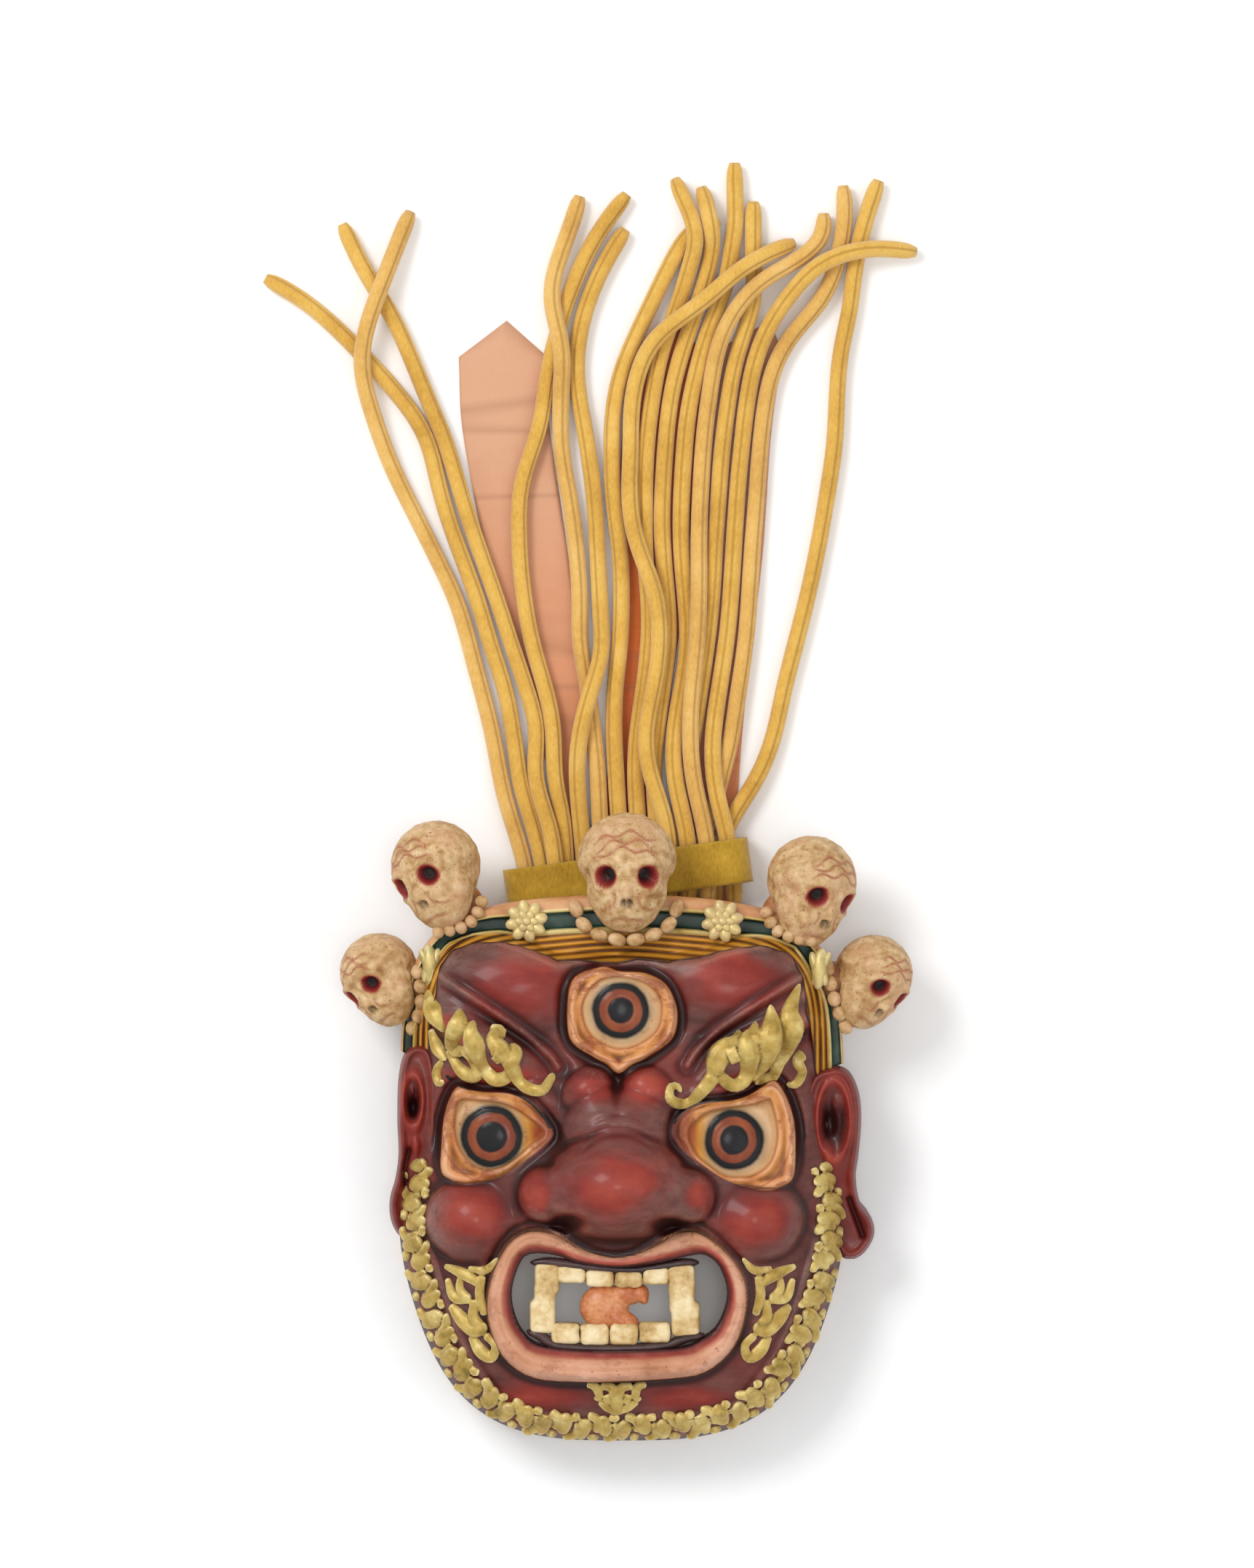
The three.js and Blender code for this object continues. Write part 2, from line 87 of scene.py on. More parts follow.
# shader helpers
class Wire:
    def __init__(self, tree, socket):
        self.tree, self.socket = tree, socket

    def sum(self, operation, *others):
        node = self.tree.nodes.new("ShaderNodeMath")
        node.operation = operation
        for place, item in enumerate(others):
            plug(self.tree, node.inputs[place], item)
        return Wire(self.tree, node.outputs[0])

    def __add__(self, other):
        return self.sum("ADD", self, other)

    def __sub__(self, other):
        return self.sum("SUBTRACT", self, other)

    def __mul__(self, other):
        return self.sum("MULTIPLY", self, other)

    def __rsub__(self, other):
        return self.sum("SUBTRACT", other, self)

    def __neg__(self):
        return self.sum("MULTIPLY", self, -1)

    __radd__ = __add__
    __rmul__ = __mul__

    def within(self):  # kept from 0 to 1
        return self.sum("MAXIMUM", self.sum("MINIMUM", self, 1), 0)

    def edge(self, at, soft):  # 0 below, 1 above
        return ((self - at) * (1 / soft) + 0.5).within()

    def around(self, at, width, soft):  # 1 close to a value
        return 1 - (self - at).sum("ABSOLUTE", self - at).edge(width, soft)


def plug(tree, socket, item):
    if isinstance(item, Wire):
        tree.links.new(item.socket, socket)
    elif isinstance(item, tuple) and len(item) == 3 and socket.type == "RGBA":
        socket.default_value = (*item, 1)
    else:
        socket.default_value = item


def tone(code):  # a screen colour as linear light
    parts = [int(code[i:i + 2], 16) / 255 for i in (0, 2, 4)]
    return tuple(p / 12.92 if p < 0.04045 else ((p + 0.055) / 1.055) ** 2.4 for p in parts)


class Finish:
    def __init__(self, name, **fixed):
        self.material = bpy.data.materials.new(name)
        self.material.use_nodes = True
        self.tree = self.material.node_tree
        self.shader = self.tree.nodes["Principled BSDF"]
        self.shader.inputs["Specular IOR Level"].default_value = 0.25
        for key, value in fixed.items():
            self.shader.inputs[key.replace("_", " ")].default_value = value
        self.place = self.node("ShaderNodeTexCoord", out="Object")

    def node(self, kind, settings=None, sockets=None, out=0):
        node = self.tree.nodes.new(kind)
        for key, value in (settings or {}).items():
            if key == "stops":
                while len(node.color_ramp.elements) < len(value):
                    node.color_ramp.elements.new(0.5)
                for stop, (at, colour) in zip(node.color_ramp.elements, value):
                    stop.position, stop.color = at, (*colour, 1)
            else:
                setattr(node, key, value)
        for key, value in (sockets or {}).items():
            plug(self.tree, node.inputs[key], value)
        return Wire(self.tree, node.outputs[out])

    def noise(self, scale, detail=3, rough=0.55, place=None, stretch=None):
        where = place or self.place
        if stretch:
            where = self.node("ShaderNodeMapping", sockets={"Vector": where, "Scale": stretch})
        return self.node("ShaderNodeTexNoise", sockets={
            "Vector": where, "Scale": scale, "Detail": detail, "Roughness": rough})

    def measure(self, name):
        return self.node("ShaderNodeAttribute", {"attribute_name": name}, out="Fac")

    def mix(self, share, first, second):
        return self.node("ShaderNodeMix", {"data_type": "RGBA"}, {0: share, 6: first, 7: second}, out=2)

    def ramp(self, share, stops):
        return self.node("ShaderNodeValToRGB", {"stops": stops}, {"Fac": share})

    def bump(self, height, distance, strength=1.0):
        return self.node("ShaderNodeBump", sockets={
            "Height": height, "Distance": distance, "Strength": strength})

    def feed(self, **sockets):
        for key, value in sockets.items():
            plug(self.tree, self.shader.inputs[key.replace("_", " ")], value)
        return self.material


# floor
def makeFloor():
    paper = Finish("floorPaper", Roughness=0.8)
    grain = paper.noise(60, 3)
    shade = paper.mix(grain, tone("f4f4f4"), tone("f8f8f8"))
    material = paper.feed(Base_Color=shade, Normal=paper.bump(grain, 0.0002, 0.3))
    bm = bmesh.new()
    bmesh.ops.create_grid(bm, x_segments=8, y_segments=8, size=stageSizes["floor"] / 2)
    mesh = bpy.data.meshes.new("floor")
    bm.to_mesh(mesh)
    bm.free()
    mesh.materials.append(material)
    floor = bpy.data.objects.new("floor", mesh)
    bpy.context.scene.collection.objects.link(floor)


makeCamera()
makeFloor()
for name, place, size, power in lampSizes:
    makeLamp(name, place, size, power)
# a very small lamp behind the mouth greys the floor that shows through it
makeLamp("inside", (-0.005, -0.265, 0.05), 0.06, 0.014, (-0.005, -0.245, 0))
world = bpy.data.worlds.new("studio")
bpy.context.scene.world = world
world.use_nodes = True
world.node_tree.nodes["Background"].inputs[0].default_value = (1, 1, 1, 1)
world.node_tree.nodes["Background"].inputs[1].default_value = 0.74
bpy.context.scene.view_settings.view_transform = "Standard"


# mesh helpers
def keepPiece(name, bm, materials, stands, recalc=True):
    if recalc:
        bmesh.ops.recalc_face_normals(bm, faces=bm.faces)
    mesh = bpy.data.meshes.new(name)
    bm.to_mesh(mesh)
    bm.free()
    for material in materials:
        mesh.materials.append(material)
    mesh.shade_smooth()
    piece = bpy.data.objects.new(name, mesh)
    bpy.context.scene.collection.objects.link(piece)
    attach(piece, "root")
    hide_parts(*stands)
    return piece


def keepCarving(name, bm, material):
    return keepPiece(name, bm, [material], ["mask"])


def readPoints(mesh):
    points = np.empty(len(mesh.vertices) * 3)
    mesh.vertices.foreach_get("co", points)
    return points.reshape(-1, 3)


def writePoints(bm, points):
    for vert, point in zip(bm.verts, points):
        vert.co = point


def addMeasure(mesh, name, values):
    layer = mesh.attributes.new(name, "FLOAT", "POINT")
    layer.data.foreach_set("value", np.asarray(values, np.float32))


def gridShape(across, along, shape, joined=False, ends=False):
    # a grid whose points shape(u, v) places, with u and v from 0 to 1; joined closes it round u
    bm = bmesh.new()
    uvLayer = bm.loops.layers.uv.new("UVMap")
    bmesh.ops.create_grid(bm, x_segments=across, y_segments=along, size=1)
    bm.verts.ensure_lookup_table()
    flat = np.array([vert.co[:2] for vert in bm.verts])
    low, high = flat.min(0), flat.max(0)
    flat = (flat - low) / (high - low)
    for face in bm.faces:
        for loop in face.loops:
            loop[uvLayer].uv = flat[loop.vert.index]
    writePoints(bm, shape(flat[:, 0], flat[:, 1]))
    if joined:
        bmesh.ops.remove_doubles(bm, verts=bm.verts, dist=1e-7)
    if ends:
        bmesh.ops.holes_fill(bm, edges=[e for e in bm.edges if e.is_boundary], sides=0)
    return bm


def faceUp(bm):
    for face in bm.faces:
        if face.normal.z < 0:
            face.normal_flip()


def bell(gap, width):  # 1 at no gap, soon nothing past the width
    return np.exp(-(gap / width) ** 2)


def smoothLine(points, count, closed=False):
    # an even, smooth run of points through the given ones
    points = np.asarray(points, float)
    if closed:
        padded = np.vstack([points[-1:], points, points[:2]])
    else:
        padded = np.vstack([2 * points[0] - points[1], points, 2 * points[-1] - points[-2]])
    fine = []
    for i in range(1, len(padded) - 2):
        a, b, c, d = padded[i - 1:i + 3]
        for t in np.linspace(0, 1, 16, endpoint=False):
            fine.append(0.5 * (2 * b + (c - a) * t + (2 * a - 5 * b + 4 * c - d) * t * t
                               + (3 * b - a - 3 * c + d) * t ** 3))
    fine.append(padded[-2])
    fine = np.array(fine)
    run = np.concatenate([[0], np.cumsum(np.linalg.norm(np.diff(fine[:, :3], axis=0), axis=1))])
    stations = np.linspace(0, run[-1], count, endpoint=not closed)
    return np.column_stack([np.interp(stations, run, fine[:, k]) for k in range(fine.shape[1])])


def lengthOf(points):
    return float(np.linalg.norm(np.diff(points, axis=0), axis=1).sum())


def runTube(path, radius, angles, profile, flatten):
    # a closed tube along path; radius per station, profile scales it round the section
    path = np.asarray(path, float)
    ahead = np.gradient(path, axis=0)
    ahead /= np.linalg.norm(ahead, axis=1)[:, None] + 1e-12
    side = np.cross(ahead, np.array([0.0, 0.0, 1.0]))
    side /= np.linalg.norm(side, axis=1)[:, None] + 1e-12
    above = np.cross(side, ahead)
    stations, turns = len(path), len(angles)
    angles = np.append(angles, angles[0] + 2 * math.pi)
    profile = np.append(profile, profile[0])

    def shape(u, v):
        i = np.rint(v * (stations - 1)).astype(int)
        j = np.rint(u * turns).astype(int)
        angle = angles[j]
        size = (radius[i] * profile[j])[:, None]
        sideways, upward = np.cos(angle)[:, None] * side[i], np.sin(angle)[:, None] * above[i]
        return path[i] + size * (sideways + flatten * upward)

    return gridShape(turns, stations - 1, shape, joined=True, ends=True)

# hair cords
print("hair cords")
cordSizes = {"radius": 0.0049, "steps": 14, "stations": 113, "floorGap": 0.0016, "touch": 0.0095,
             "turns": 45, "seamDepth": 0.17, "seamSpread": 48, "paleCords": (3, 7, 11, 15)}
hairRoutes = [
    [(-0.041, -0.0135), (-0.043, 0.0055), (-0.046, 0.0265), (-0.051, 0.0465), (-0.058, 0.0675),
    (-0.063, 0.0865), (-0.069, 0.1115), (-0.077, 0.1355), (-0.084, 0.1605), (-0.093, 0.1855),
    (-0.101, 0.2085), (-0.106, 0.2315), (-0.109, 0.2495), (-0.119, 0.2655), (-0.137, 0.2825),
    (-0.153, 0.2985), (-0.17, 0.3185), (-0.185, 0.3335), (-0.206, 0.3455)],
    [(-0.03, -0.0135), (-0.031, 0.0075), (-0.034, 0.0285), (-0.038, 0.0435), (-0.043, 0.0595),
    (-0.043, 0.0805), (-0.046, 0.1045), (-0.052, 0.1295), (-0.057, 0.1545), (-0.06, 0.1795),
    (-0.061, 0.2045), (-0.06, 0.2275), (-0.053, 0.2475), (-0.045, 0.2675), (-0.041, 0.2895),
    (-0.038, 0.3095), (-0.034, 0.3325), (-0.025, 0.3555), (-0.012, 0.3765), (0.001, 0.3935)],
    [(-0.019, -0.0135), (-0.02, 0.0095), (-0.02, 0.0385), (-0.019, 0.0635), (-0.02, 0.0885),
    (-0.021, 0.1175), (-0.024, 0.1385), (-0.025, 0.1585), (-0.027, 0.1795), (-0.029, 0.2005),
    (-0.032, 0.2205), (-0.036, 0.2395), (-0.039, 0.2625), (-0.04, 0.2825), (-0.039, 0.3035),
    (-0.042, 0.3265), (-0.041, 0.3425), (-0.036, 0.3615), (-0.03, 0.3785), (-0.026, 0.3925)],
    [(-0.003, -0.0135), (-0.004, 0.0095), (-0.005, 0.0385), (-0.006, 0.0635), (-0.007, 0.0885),
    (-0.006, 0.1175), (-0.003, 0.1425), (-0.002, 0.1715), (-0.003, 0.2005), (-0.005, 0.2295),
    (-0.005, 0.2535), (-0.004, 0.2785), (0.001, 0.3015), (0.011, 0.3215), (0.023, 0.3385), (0.037, 0.3555),
    (0.049, 0.3695), (0.056, 0.3785)],
    [(0.008, -0.0135), (0.008, 0.0095), (0.008, 0.0385), (0.008, 0.0635), (0.01, 0.0845), (0.014, 0.1065),
    (0.017, 0.1335), (0.019, 0.1585), (0.017, 0.1815), (0.015, 0.2045), (0.012, 0.2295), (0.012, 0.2535),
    (0.015, 0.2765), (0.019, 0.2995), (0.026, 0.3185), (0.031, 0.3365), (0.035, 0.3555), (0.035, 0.3695),
    (0.03, 0.3855), (0.028, 0.3985)],
    [(0.032, -0.0135), (0.032, 0.0095), (0.032, 0.0345), (0.032, 0.0555), (0.034, 0.0805), (0.037, 0.1095),
    (0.04, 0.1335), (0.043, 0.1625), (0.044, 0.1915), (0.047, 0.2165), (0.051, 0.2435), (0.056, 0.2705),
    (0.061, 0.2955), (0.067, 0.3205), (0.07, 0.3385), (0.07, 0.3595), (0.068, 0.3765), (0.066, 0.3895)],
    [(0.043, -0.0135), (0.044, 0.0095), (0.05, 0.0345), (0.053, 0.0595), (0.058, 0.0845), (0.064, 0.1115),
    (0.068, 0.1385), (0.07, 0.1665), (0.072, 0.1955), (0.075, 0.2225), (0.077, 0.2495), (0.08, 0.2745),
    (0.085, 0.2955), (0.095, 0.3135), (0.109, 0.3305), (0.118, 0.3475), (0.123, 0.3645), (0.126, 0.3825),
    (0.124, 0.3985)],
    [(0.051, -0.0135), (0.052, 0.0035), (0.057, 0.0235), (0.065, 0.0405), (0.076, 0.0585), (0.085, 0.0825),
    (0.091, 0.1115), (0.098, 0.1385), (0.105, 0.1665), (0.111, 0.1955), (0.116, 0.2245), (0.12, 0.2515),
    (0.121, 0.2765), (0.123, 0.3035), (0.128, 0.3265), (0.13, 0.3495), (0.134, 0.3695), (0.14, 0.3885),
    (0.145, 0.4015)],
    [(0.02, -0.0135), (0.02, 0.0095), (0.019, 0.0345), (0.018, 0.0595), (0.02, 0.0845), (0.022, 0.1095),
    (0.025, 0.1335), (0.025, 0.1585), (0.022, 0.1855), (0.02, 0.2125), (0.022, 0.2455), (0.026, 0.2725),
    (0.032, 0.2975), (0.039, 0.3225), (0.043, 0.3405), (0.044, 0.3595), (0.042, 0.3785), (0.037, 0.3955)],
    [(-0.036, -0.0135), (-0.037, 0.0075), (-0.041, 0.0265), (-0.049, 0.0415), (-0.055, 0.0565),
    (-0.053, 0.0695), (-0.049, 0.0865), (-0.053, 0.1045), (-0.06, 0.1225), (-0.066, 0.1385),
    (-0.074, 0.1625), (-0.083, 0.1875), (-0.092, 0.2125), (-0.101, 0.2375), (-0.109, 0.2625),
    (-0.121, 0.2955), (-0.132, 0.3225), (-0.146, 0.3485), (-0.162, 0.3765)],
    [(-0.047, -0.0135), (-0.048, 0.0075), (-0.054, 0.0265), (-0.061, 0.0415), (-0.067, 0.0555),
    (-0.072, 0.0715), (-0.078, 0.0945), (-0.086, 0.1235), (-0.094, 0.1545), (-0.107, 0.1835),
    (-0.12, 0.2095), (-0.133, 0.2355), (-0.143, 0.2635), (-0.148, 0.2895), (-0.146, 0.3165),
    (-0.138, 0.3455), (-0.13, 0.3675), (-0.123, 0.3835)],
    [(-0.025, -0.0135), (-0.026, 0.0095), (-0.029, 0.0345), (-0.029, 0.0515), (-0.026, 0.0715),
    (-0.023, 0.0885), (-0.019, 0.1115), (-0.015, 0.1335), (-0.015, 0.1625), (-0.016, 0.1915),
    (-0.017, 0.2165), (-0.02, 0.2395), (-0.024, 0.2625), (-0.028, 0.2825), (-0.029, 0.2995),
    (-0.026, 0.3185), (-0.02, 0.3375), (-0.011, 0.3565), (0.0000, 0.3735)],
    [(0.037, -0.0135), (0.036, 0.0095), (0.033, 0.0345), (0.028, 0.0595), (0.028, 0.0865), (0.032, 0.1115),
    (0.035, 0.1385), (0.034, 0.1625), (0.032, 0.1875), (0.032, 0.2125), (0.034, 0.2395), (0.037, 0.2665),
    (0.042, 0.2915), (0.046, 0.3165), (0.051, 0.3365), (0.054, 0.3555), (0.056, 0.3745), (0.06, 0.3935),
    (0.063, 0.4115)],
    [(0.026, -0.0135), (0.025, 0.0095), (0.021, 0.0345), (0.013, 0.0555), (0.009, 0.0755), (0.012, 0.0945),
    (0.018, 0.1135), (0.021, 0.1335), (0.019, 0.1545), (0.013, 0.1775), (0.009, 0.1985), (0.008, 0.2205),
    (0.008, 0.2435), (0.005, 0.2665), (0.005, 0.2845), (0.012, 0.3035), (0.027, 0.3175), (0.044, 0.3305),
    (0.06, 0.3455), (0.075, 0.3545), (0.087, 0.3595), (0.097, 0.3625)],
    [(0.045, -0.0135), (0.045, 0.0095), (0.042, 0.0345), (0.038, 0.0595), (0.038, 0.0845), (0.041, 0.1135),
    (0.044, 0.1425), (0.046, 0.1715), (0.046, 0.1955), (0.047, 0.2205), (0.048, 0.2455), (0.05, 0.2725),
    (0.054, 0.2955), (0.062, 0.3135), (0.072, 0.3285), (0.084, 0.3415), (0.097, 0.3525), (0.11, 0.3625),
    (0.118, 0.3725), (0.114, 0.3825)],
    [(0.051, -0.0135), (0.051, 0.0095), (0.049, 0.0345), (0.047, 0.0595), (0.049, 0.0885), (0.053, 0.1175),
    (0.057, 0.1465), (0.059, 0.1755), (0.06, 0.2005), (0.062, 0.2275), (0.065, 0.2535), (0.068, 0.2785),
    (0.073, 0.3035), (0.082, 0.3235), (0.094, 0.3375), (0.108, 0.3505), (0.126, 0.3585), (0.146, 0.3615),
    (0.166, 0.3605)]]


def laySolids(rank, plan):
    # the cord's centre at each ring of its solid, so that the felt lies where the solid does
    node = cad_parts[f"hair_cord_{rank:02d}"]
    points = np.unique(np.round(readPoints(node.data), 6), axis=0)
    centres = np.column_stack([smoothLine(plan, cordSizes["steps"] + 1), np.zeros(cordSizes["steps"] + 1)])
    for turn in range(4):
        gaps = np.linalg.norm(points[:, None, :2] - centres[None, :, :2], axis=2)
        owner = gaps.argmin(1)
        for k in range(len(centres)):
            if (owner == k).any():
                centres[k] = points[owner == k].mean(0)
    fine = smoothLine(plan, cordSizes["stations"])
    coarse = smoothLine(plan, cordSizes["steps"] + 1)
    at = np.linspace(0, 1, cordSizes["steps"] + 1)
    stations = np.linspace(0, 1, cordSizes["stations"])
    shift = np.column_stack([centres[:, 0] - coarse[:, 0], centres[:, 1] - coarse[:, 1], centres[:, 2]])
    shift = np.column_stack([np.interp(stations, at, shift[:, k]) for k in range(3)])
    for turn in range(12):
        shift[1:-1] = (shift[:-2] + 2 * shift[1:-1] + shift[2:]) / 4
    return np.column_stack([fine, np.zeros(len(fine))]) + shift


def settleCords(cords):
    # presses apart what still touches, keeps all of it on the floor, and evens the bends
    points = np.concatenate(cords)
    owner = np.repeat(np.arange(len(cords)), cordSizes["stations"])
    floor = cordSizes["radius"] + cordSizes["floorGap"]
    for turn in range(cordSizes["turns"]):
        push = np.zeros_like(points)
        for k in range(len(cords)):
            mine = points[owner == k]
            others = points[owner != k]
            gap = others[None] - mine[:, None]
            far = np.linalg.norm(gap, axis=2) + 1e-9
            near = np.clip(cordSizes["touch"] - far, 0, None)
            push[owner == k] = -(gap / far[..., None] * near[..., None]).sum(1) * 0.22
        points += push
        points[:, 2] = np.maximum(points[:, 2], floor)
        if turn % 4 == 0:
            for k in range(len(cords)):
                line = points[owner == k]
                line[1:-1] = (line[:-2] + 2 * line[1:-1] + line[2:]) / 4
                points[owner == k] = line
    return [points[owner == k] for k in range(len(cords))]


def feltFinish(name, deep, mid, light):
    felt = Finish(name, Sheen_Weight=0.35, Sheen_Roughness=0.6)
    felt.shader.inputs["Specular IOR Level"].default_value = 0.12
    cloud = felt.noise(38, 3)
    fibre = felt.noise(900, 3, stretch=(1, 0.35, 1))
    pill = felt.noise(2600, 2)
    seam = felt.measure("seam")
    body = felt.ramp(cloud * 0.6 + fibre * 0.4, [(0.3, tone(deep)), (0.52, tone(mid)), (0.74, tone(light))])
    body = felt.mix(seam.edge(0.5, 0.5) * 0.5, body, felt.mix(0.5, tone(deep), tone("6b4614")))
    height = fibre * 0.6 + pill * 0.4
    return felt.feed(Base_Color=body, Roughness=0.86 + fibre * 0.1, Normal=felt.bump(height, 0.0005, 0.55))


feltGold = feltFinish("feltGold", "ba8930", "d4a648", "e2bc66")
feltPale = feltFinish("feltPale", "bd8c40", "d6a856", "e2bc74")
seamAngles = [0, 0.1, 0.2, 0.42, 0.75] + [0.75 + k * 0.3 for k in range(1, 16)]
seamAngles = np.array(seamAngles + [2 * math.pi - a for a in (0.42, 0.2, 0.1)])
seamDip = bell(np.minimum(seamAngles, 2 * math.pi - seamAngles), 0.16)


def makeCord(rank, path):
    stations = cordSizes["stations"]
    size = cordSizes["radius"]
    wobble = np.array([dice.uniform(-1, 1) for k in range(12)])
    stretch = np.interp(np.linspace(0, 11, stations), np.arange(12), wobble)
    radius = size * (0.985 + 0.02 * stretch)
    radius[-3:] *= (0.97, 0.88, 0.62)
    radius[:2] *= (0.7, 0.92)
    start = math.radians(90 + dice.uniform(-1, 1) * cordSizes["seamSpread"])
    dice.uniform(-30, 30)  # passed over, so the draws after it stay the same
    bm = runTube(path, radius, seamAngles + start, 1 - cordSizes["seamDepth"] * seamDip, flatten=0.96)
    name = f"felt_cord_{rank:02d}"
    pale = rank in cordSizes["paleCords"]
    cord = keepPiece(name, bm, [feltPale if pale else feltGold],
                     [f"hair_cord_{rank:02d}"])
    points = readPoints(cord.data)
    gap = np.linalg.norm(points[:, None, :] - path[None], axis=2)
    nearest = gap.argmin(1)
    ahead = np.gradient(path, axis=0)[nearest]
    ahead /= np.linalg.norm(ahead, axis=1)[:, None]
    side = np.cross(ahead, (0, 0, 1))
    above = np.cross(side, ahead)
    off = points - path[nearest]
    angle = np.arctan2((off * above).sum(1), (off * side).sum(1)) - start
    angle = np.abs((angle + math.pi) % (2 * math.pi) - math.pi)
    addMeasure(cord.data, "seam", bell(angle, 0.2))
    round(lengthOf(path), 3)


cordPaths = settleCords([laySolids(k + 1, np.array(route)) for k, route in enumerate(hairRoutes)])
for k, path in enumerate(cordPaths):
    makeCord(k + 1, path)

# ribbons of thin cloth
print("ribbons")
ribbonSizes = {
    "left": {"line": [(-0.034, -0.0135, 0.009), (-0.035, 0.0465, 0.007), (-0.040, 0.1065, 0.016),
                      (-0.056, 0.1865, 0.023), (-0.068, 0.2565, 0.025), (-0.070, 0.3005, 0.0255)],
             "tip": (-0.068, 0.3215), "slot": "ribbon_peach"},
    "middle": {"line": [(0.000, -0.0135, 0.015), (0.003, 0.0465, 0.015), (0.010, 0.1065, 0.016),
                        (0.016, 0.1865, 0.020), (0.020, 0.2565, 0.022), (0.024, 0.3025, 0.022)],
               "tip": (0.026, 0.3225), "slot": "ribbon_orange"},
    "right": {"line": [(0.044, -0.0135, 0.016), (0.047, 0.0465, 0.017), (0.051, 0.1065, 0.018),
                       (0.059, 0.1865, 0.0195), (0.063, 0.2565, 0.0205), (0.069, 0.3025, 0.021)],
              "tip": (0.083, 0.3215), "slot": "ribbon_peach"},
}


def silkFinish(name, pale, deep):
    silk = Finish(name, Sheen_Weight=0.25)
    along = silk.node("ShaderNodeSeparateXYZ", sockets={"Vector": silk.place}, out=1)
    warp = silk.noise(1100, 2, stretch=(1, 0.08, 1))
    weft = silk.noise(1100, 2, stretch=(0.08, 1, 1))
    cloud = silk.noise(16, 4)
    crease = silk.noise(9, 2, stretch=(0.12, 1, 1))
    line = crease.around(0.5, 0.008, 0.02)
    fade = (0.2 - along + cloud * 0.12 - 0.06).edge(0.08, 0.24)
    colour = silk.mix(fade, tone(pale), tone(deep))
    colour = silk.mix((warp + weft).edge(1.0, 0.7) * 0.22, colour, silk.mix(0.5, tone(pale), tone("dcb394")))
    # darker along the crease lines of the cloth: painted shade in the folds
    colour = silk.mix(line * 0.35, colour, tone("94644a"))
    colour = silk.mix(cloud.edge(0.58, 0.2) * 0.18, colour, tone("b0785a"))
    height = warp * 0.3 + weft * 0.3 + crease * 2.2 - line * 0.6
    return silk.feed(Base_Color=colour, Roughness=0.62 + cloud * 0.15, Normal=silk.bump(height, 0.0007, 0.5))


silkPeach = silkFinish("silkPeach", "cc9a7a", "cd7842")
silkOrange = silkFinish("silkOrange", "c8661a", "b8500e")


def makeRibbon(side, size):
    stations = 110
    line = smoothLine(np.array(size["line"]), stations)
    tip = np.array(size["tip"])
    cordPoints = np.concatenate(cordPaths)
    phase = dice.uniform(0, 6)
    full = (np.linalg.norm(line[-1, :2] - line[0, :2]), 2 * max(p[2] for p in size["line"]))

    def shape(u, v):
        i = np.rint(v * (stations - 1)).astype(int)
        across = 2 * u - 1
        x = line[i, 0] + across * line[i, 2]
        y = line[i, 1] + 0 * across
        tail = np.clip((v - 0.985) / 0.015, 0, 1)
        y = y + tail * (1 - np.abs(across)) * (tip[1] - line[-1, 1])
        x = x + tail * (1 - np.abs(across)) * (tip[0] - line[-1, 0])
        ripple = 0.5 + 0.5 * np.sin(y * 140 + 2.2 * np.sin(y * 37 + phase) + across * 1.3)
        curl = np.abs(across) ** 5
        z = 0.0003 + 0.0007 * ripple + 0.0012 * curl * (0.5 + 0.5 * np.sin(y * 60 + phase))
        gap = np.linalg.norm(np.column_stack([x, y])[:, None] - cordPoints[None, :, :2], axis=2).min(1)
        z = np.where(gap < 0.007, np.minimum(z, 0.0009), z)
        return np.column_stack([x, y, z])

    bm = gridShape(22, stations - 1, shape)
    faceUp(bm)
    finish = silkOrange if side == "middle" else silkPeach
    ribbon = keepPiece(f"ribbon_cloth_{side}", bm, [finish], [f"ribbon_{side}"], recalc=False)
    cloth = ribbon.modifiers.new("cloth", "SOLIDIFY")
    cloth.thickness = 0.0004
    cloth.offset = 1
    round(full[0] + 0.02, 3)


for side, size in ribbonSizes.items():
    makeRibbon(side, size)

# felt band round the roots of the cords
bandSizes = {"left": -0.069, "right": 0.072, "middle": 0.0035, "length": 0.026, "low": 0.0016,
             "height": 0.028, "corner": 0.008, "thick": 0.0022, "turn": 7.8, "loopLength": 0.318}


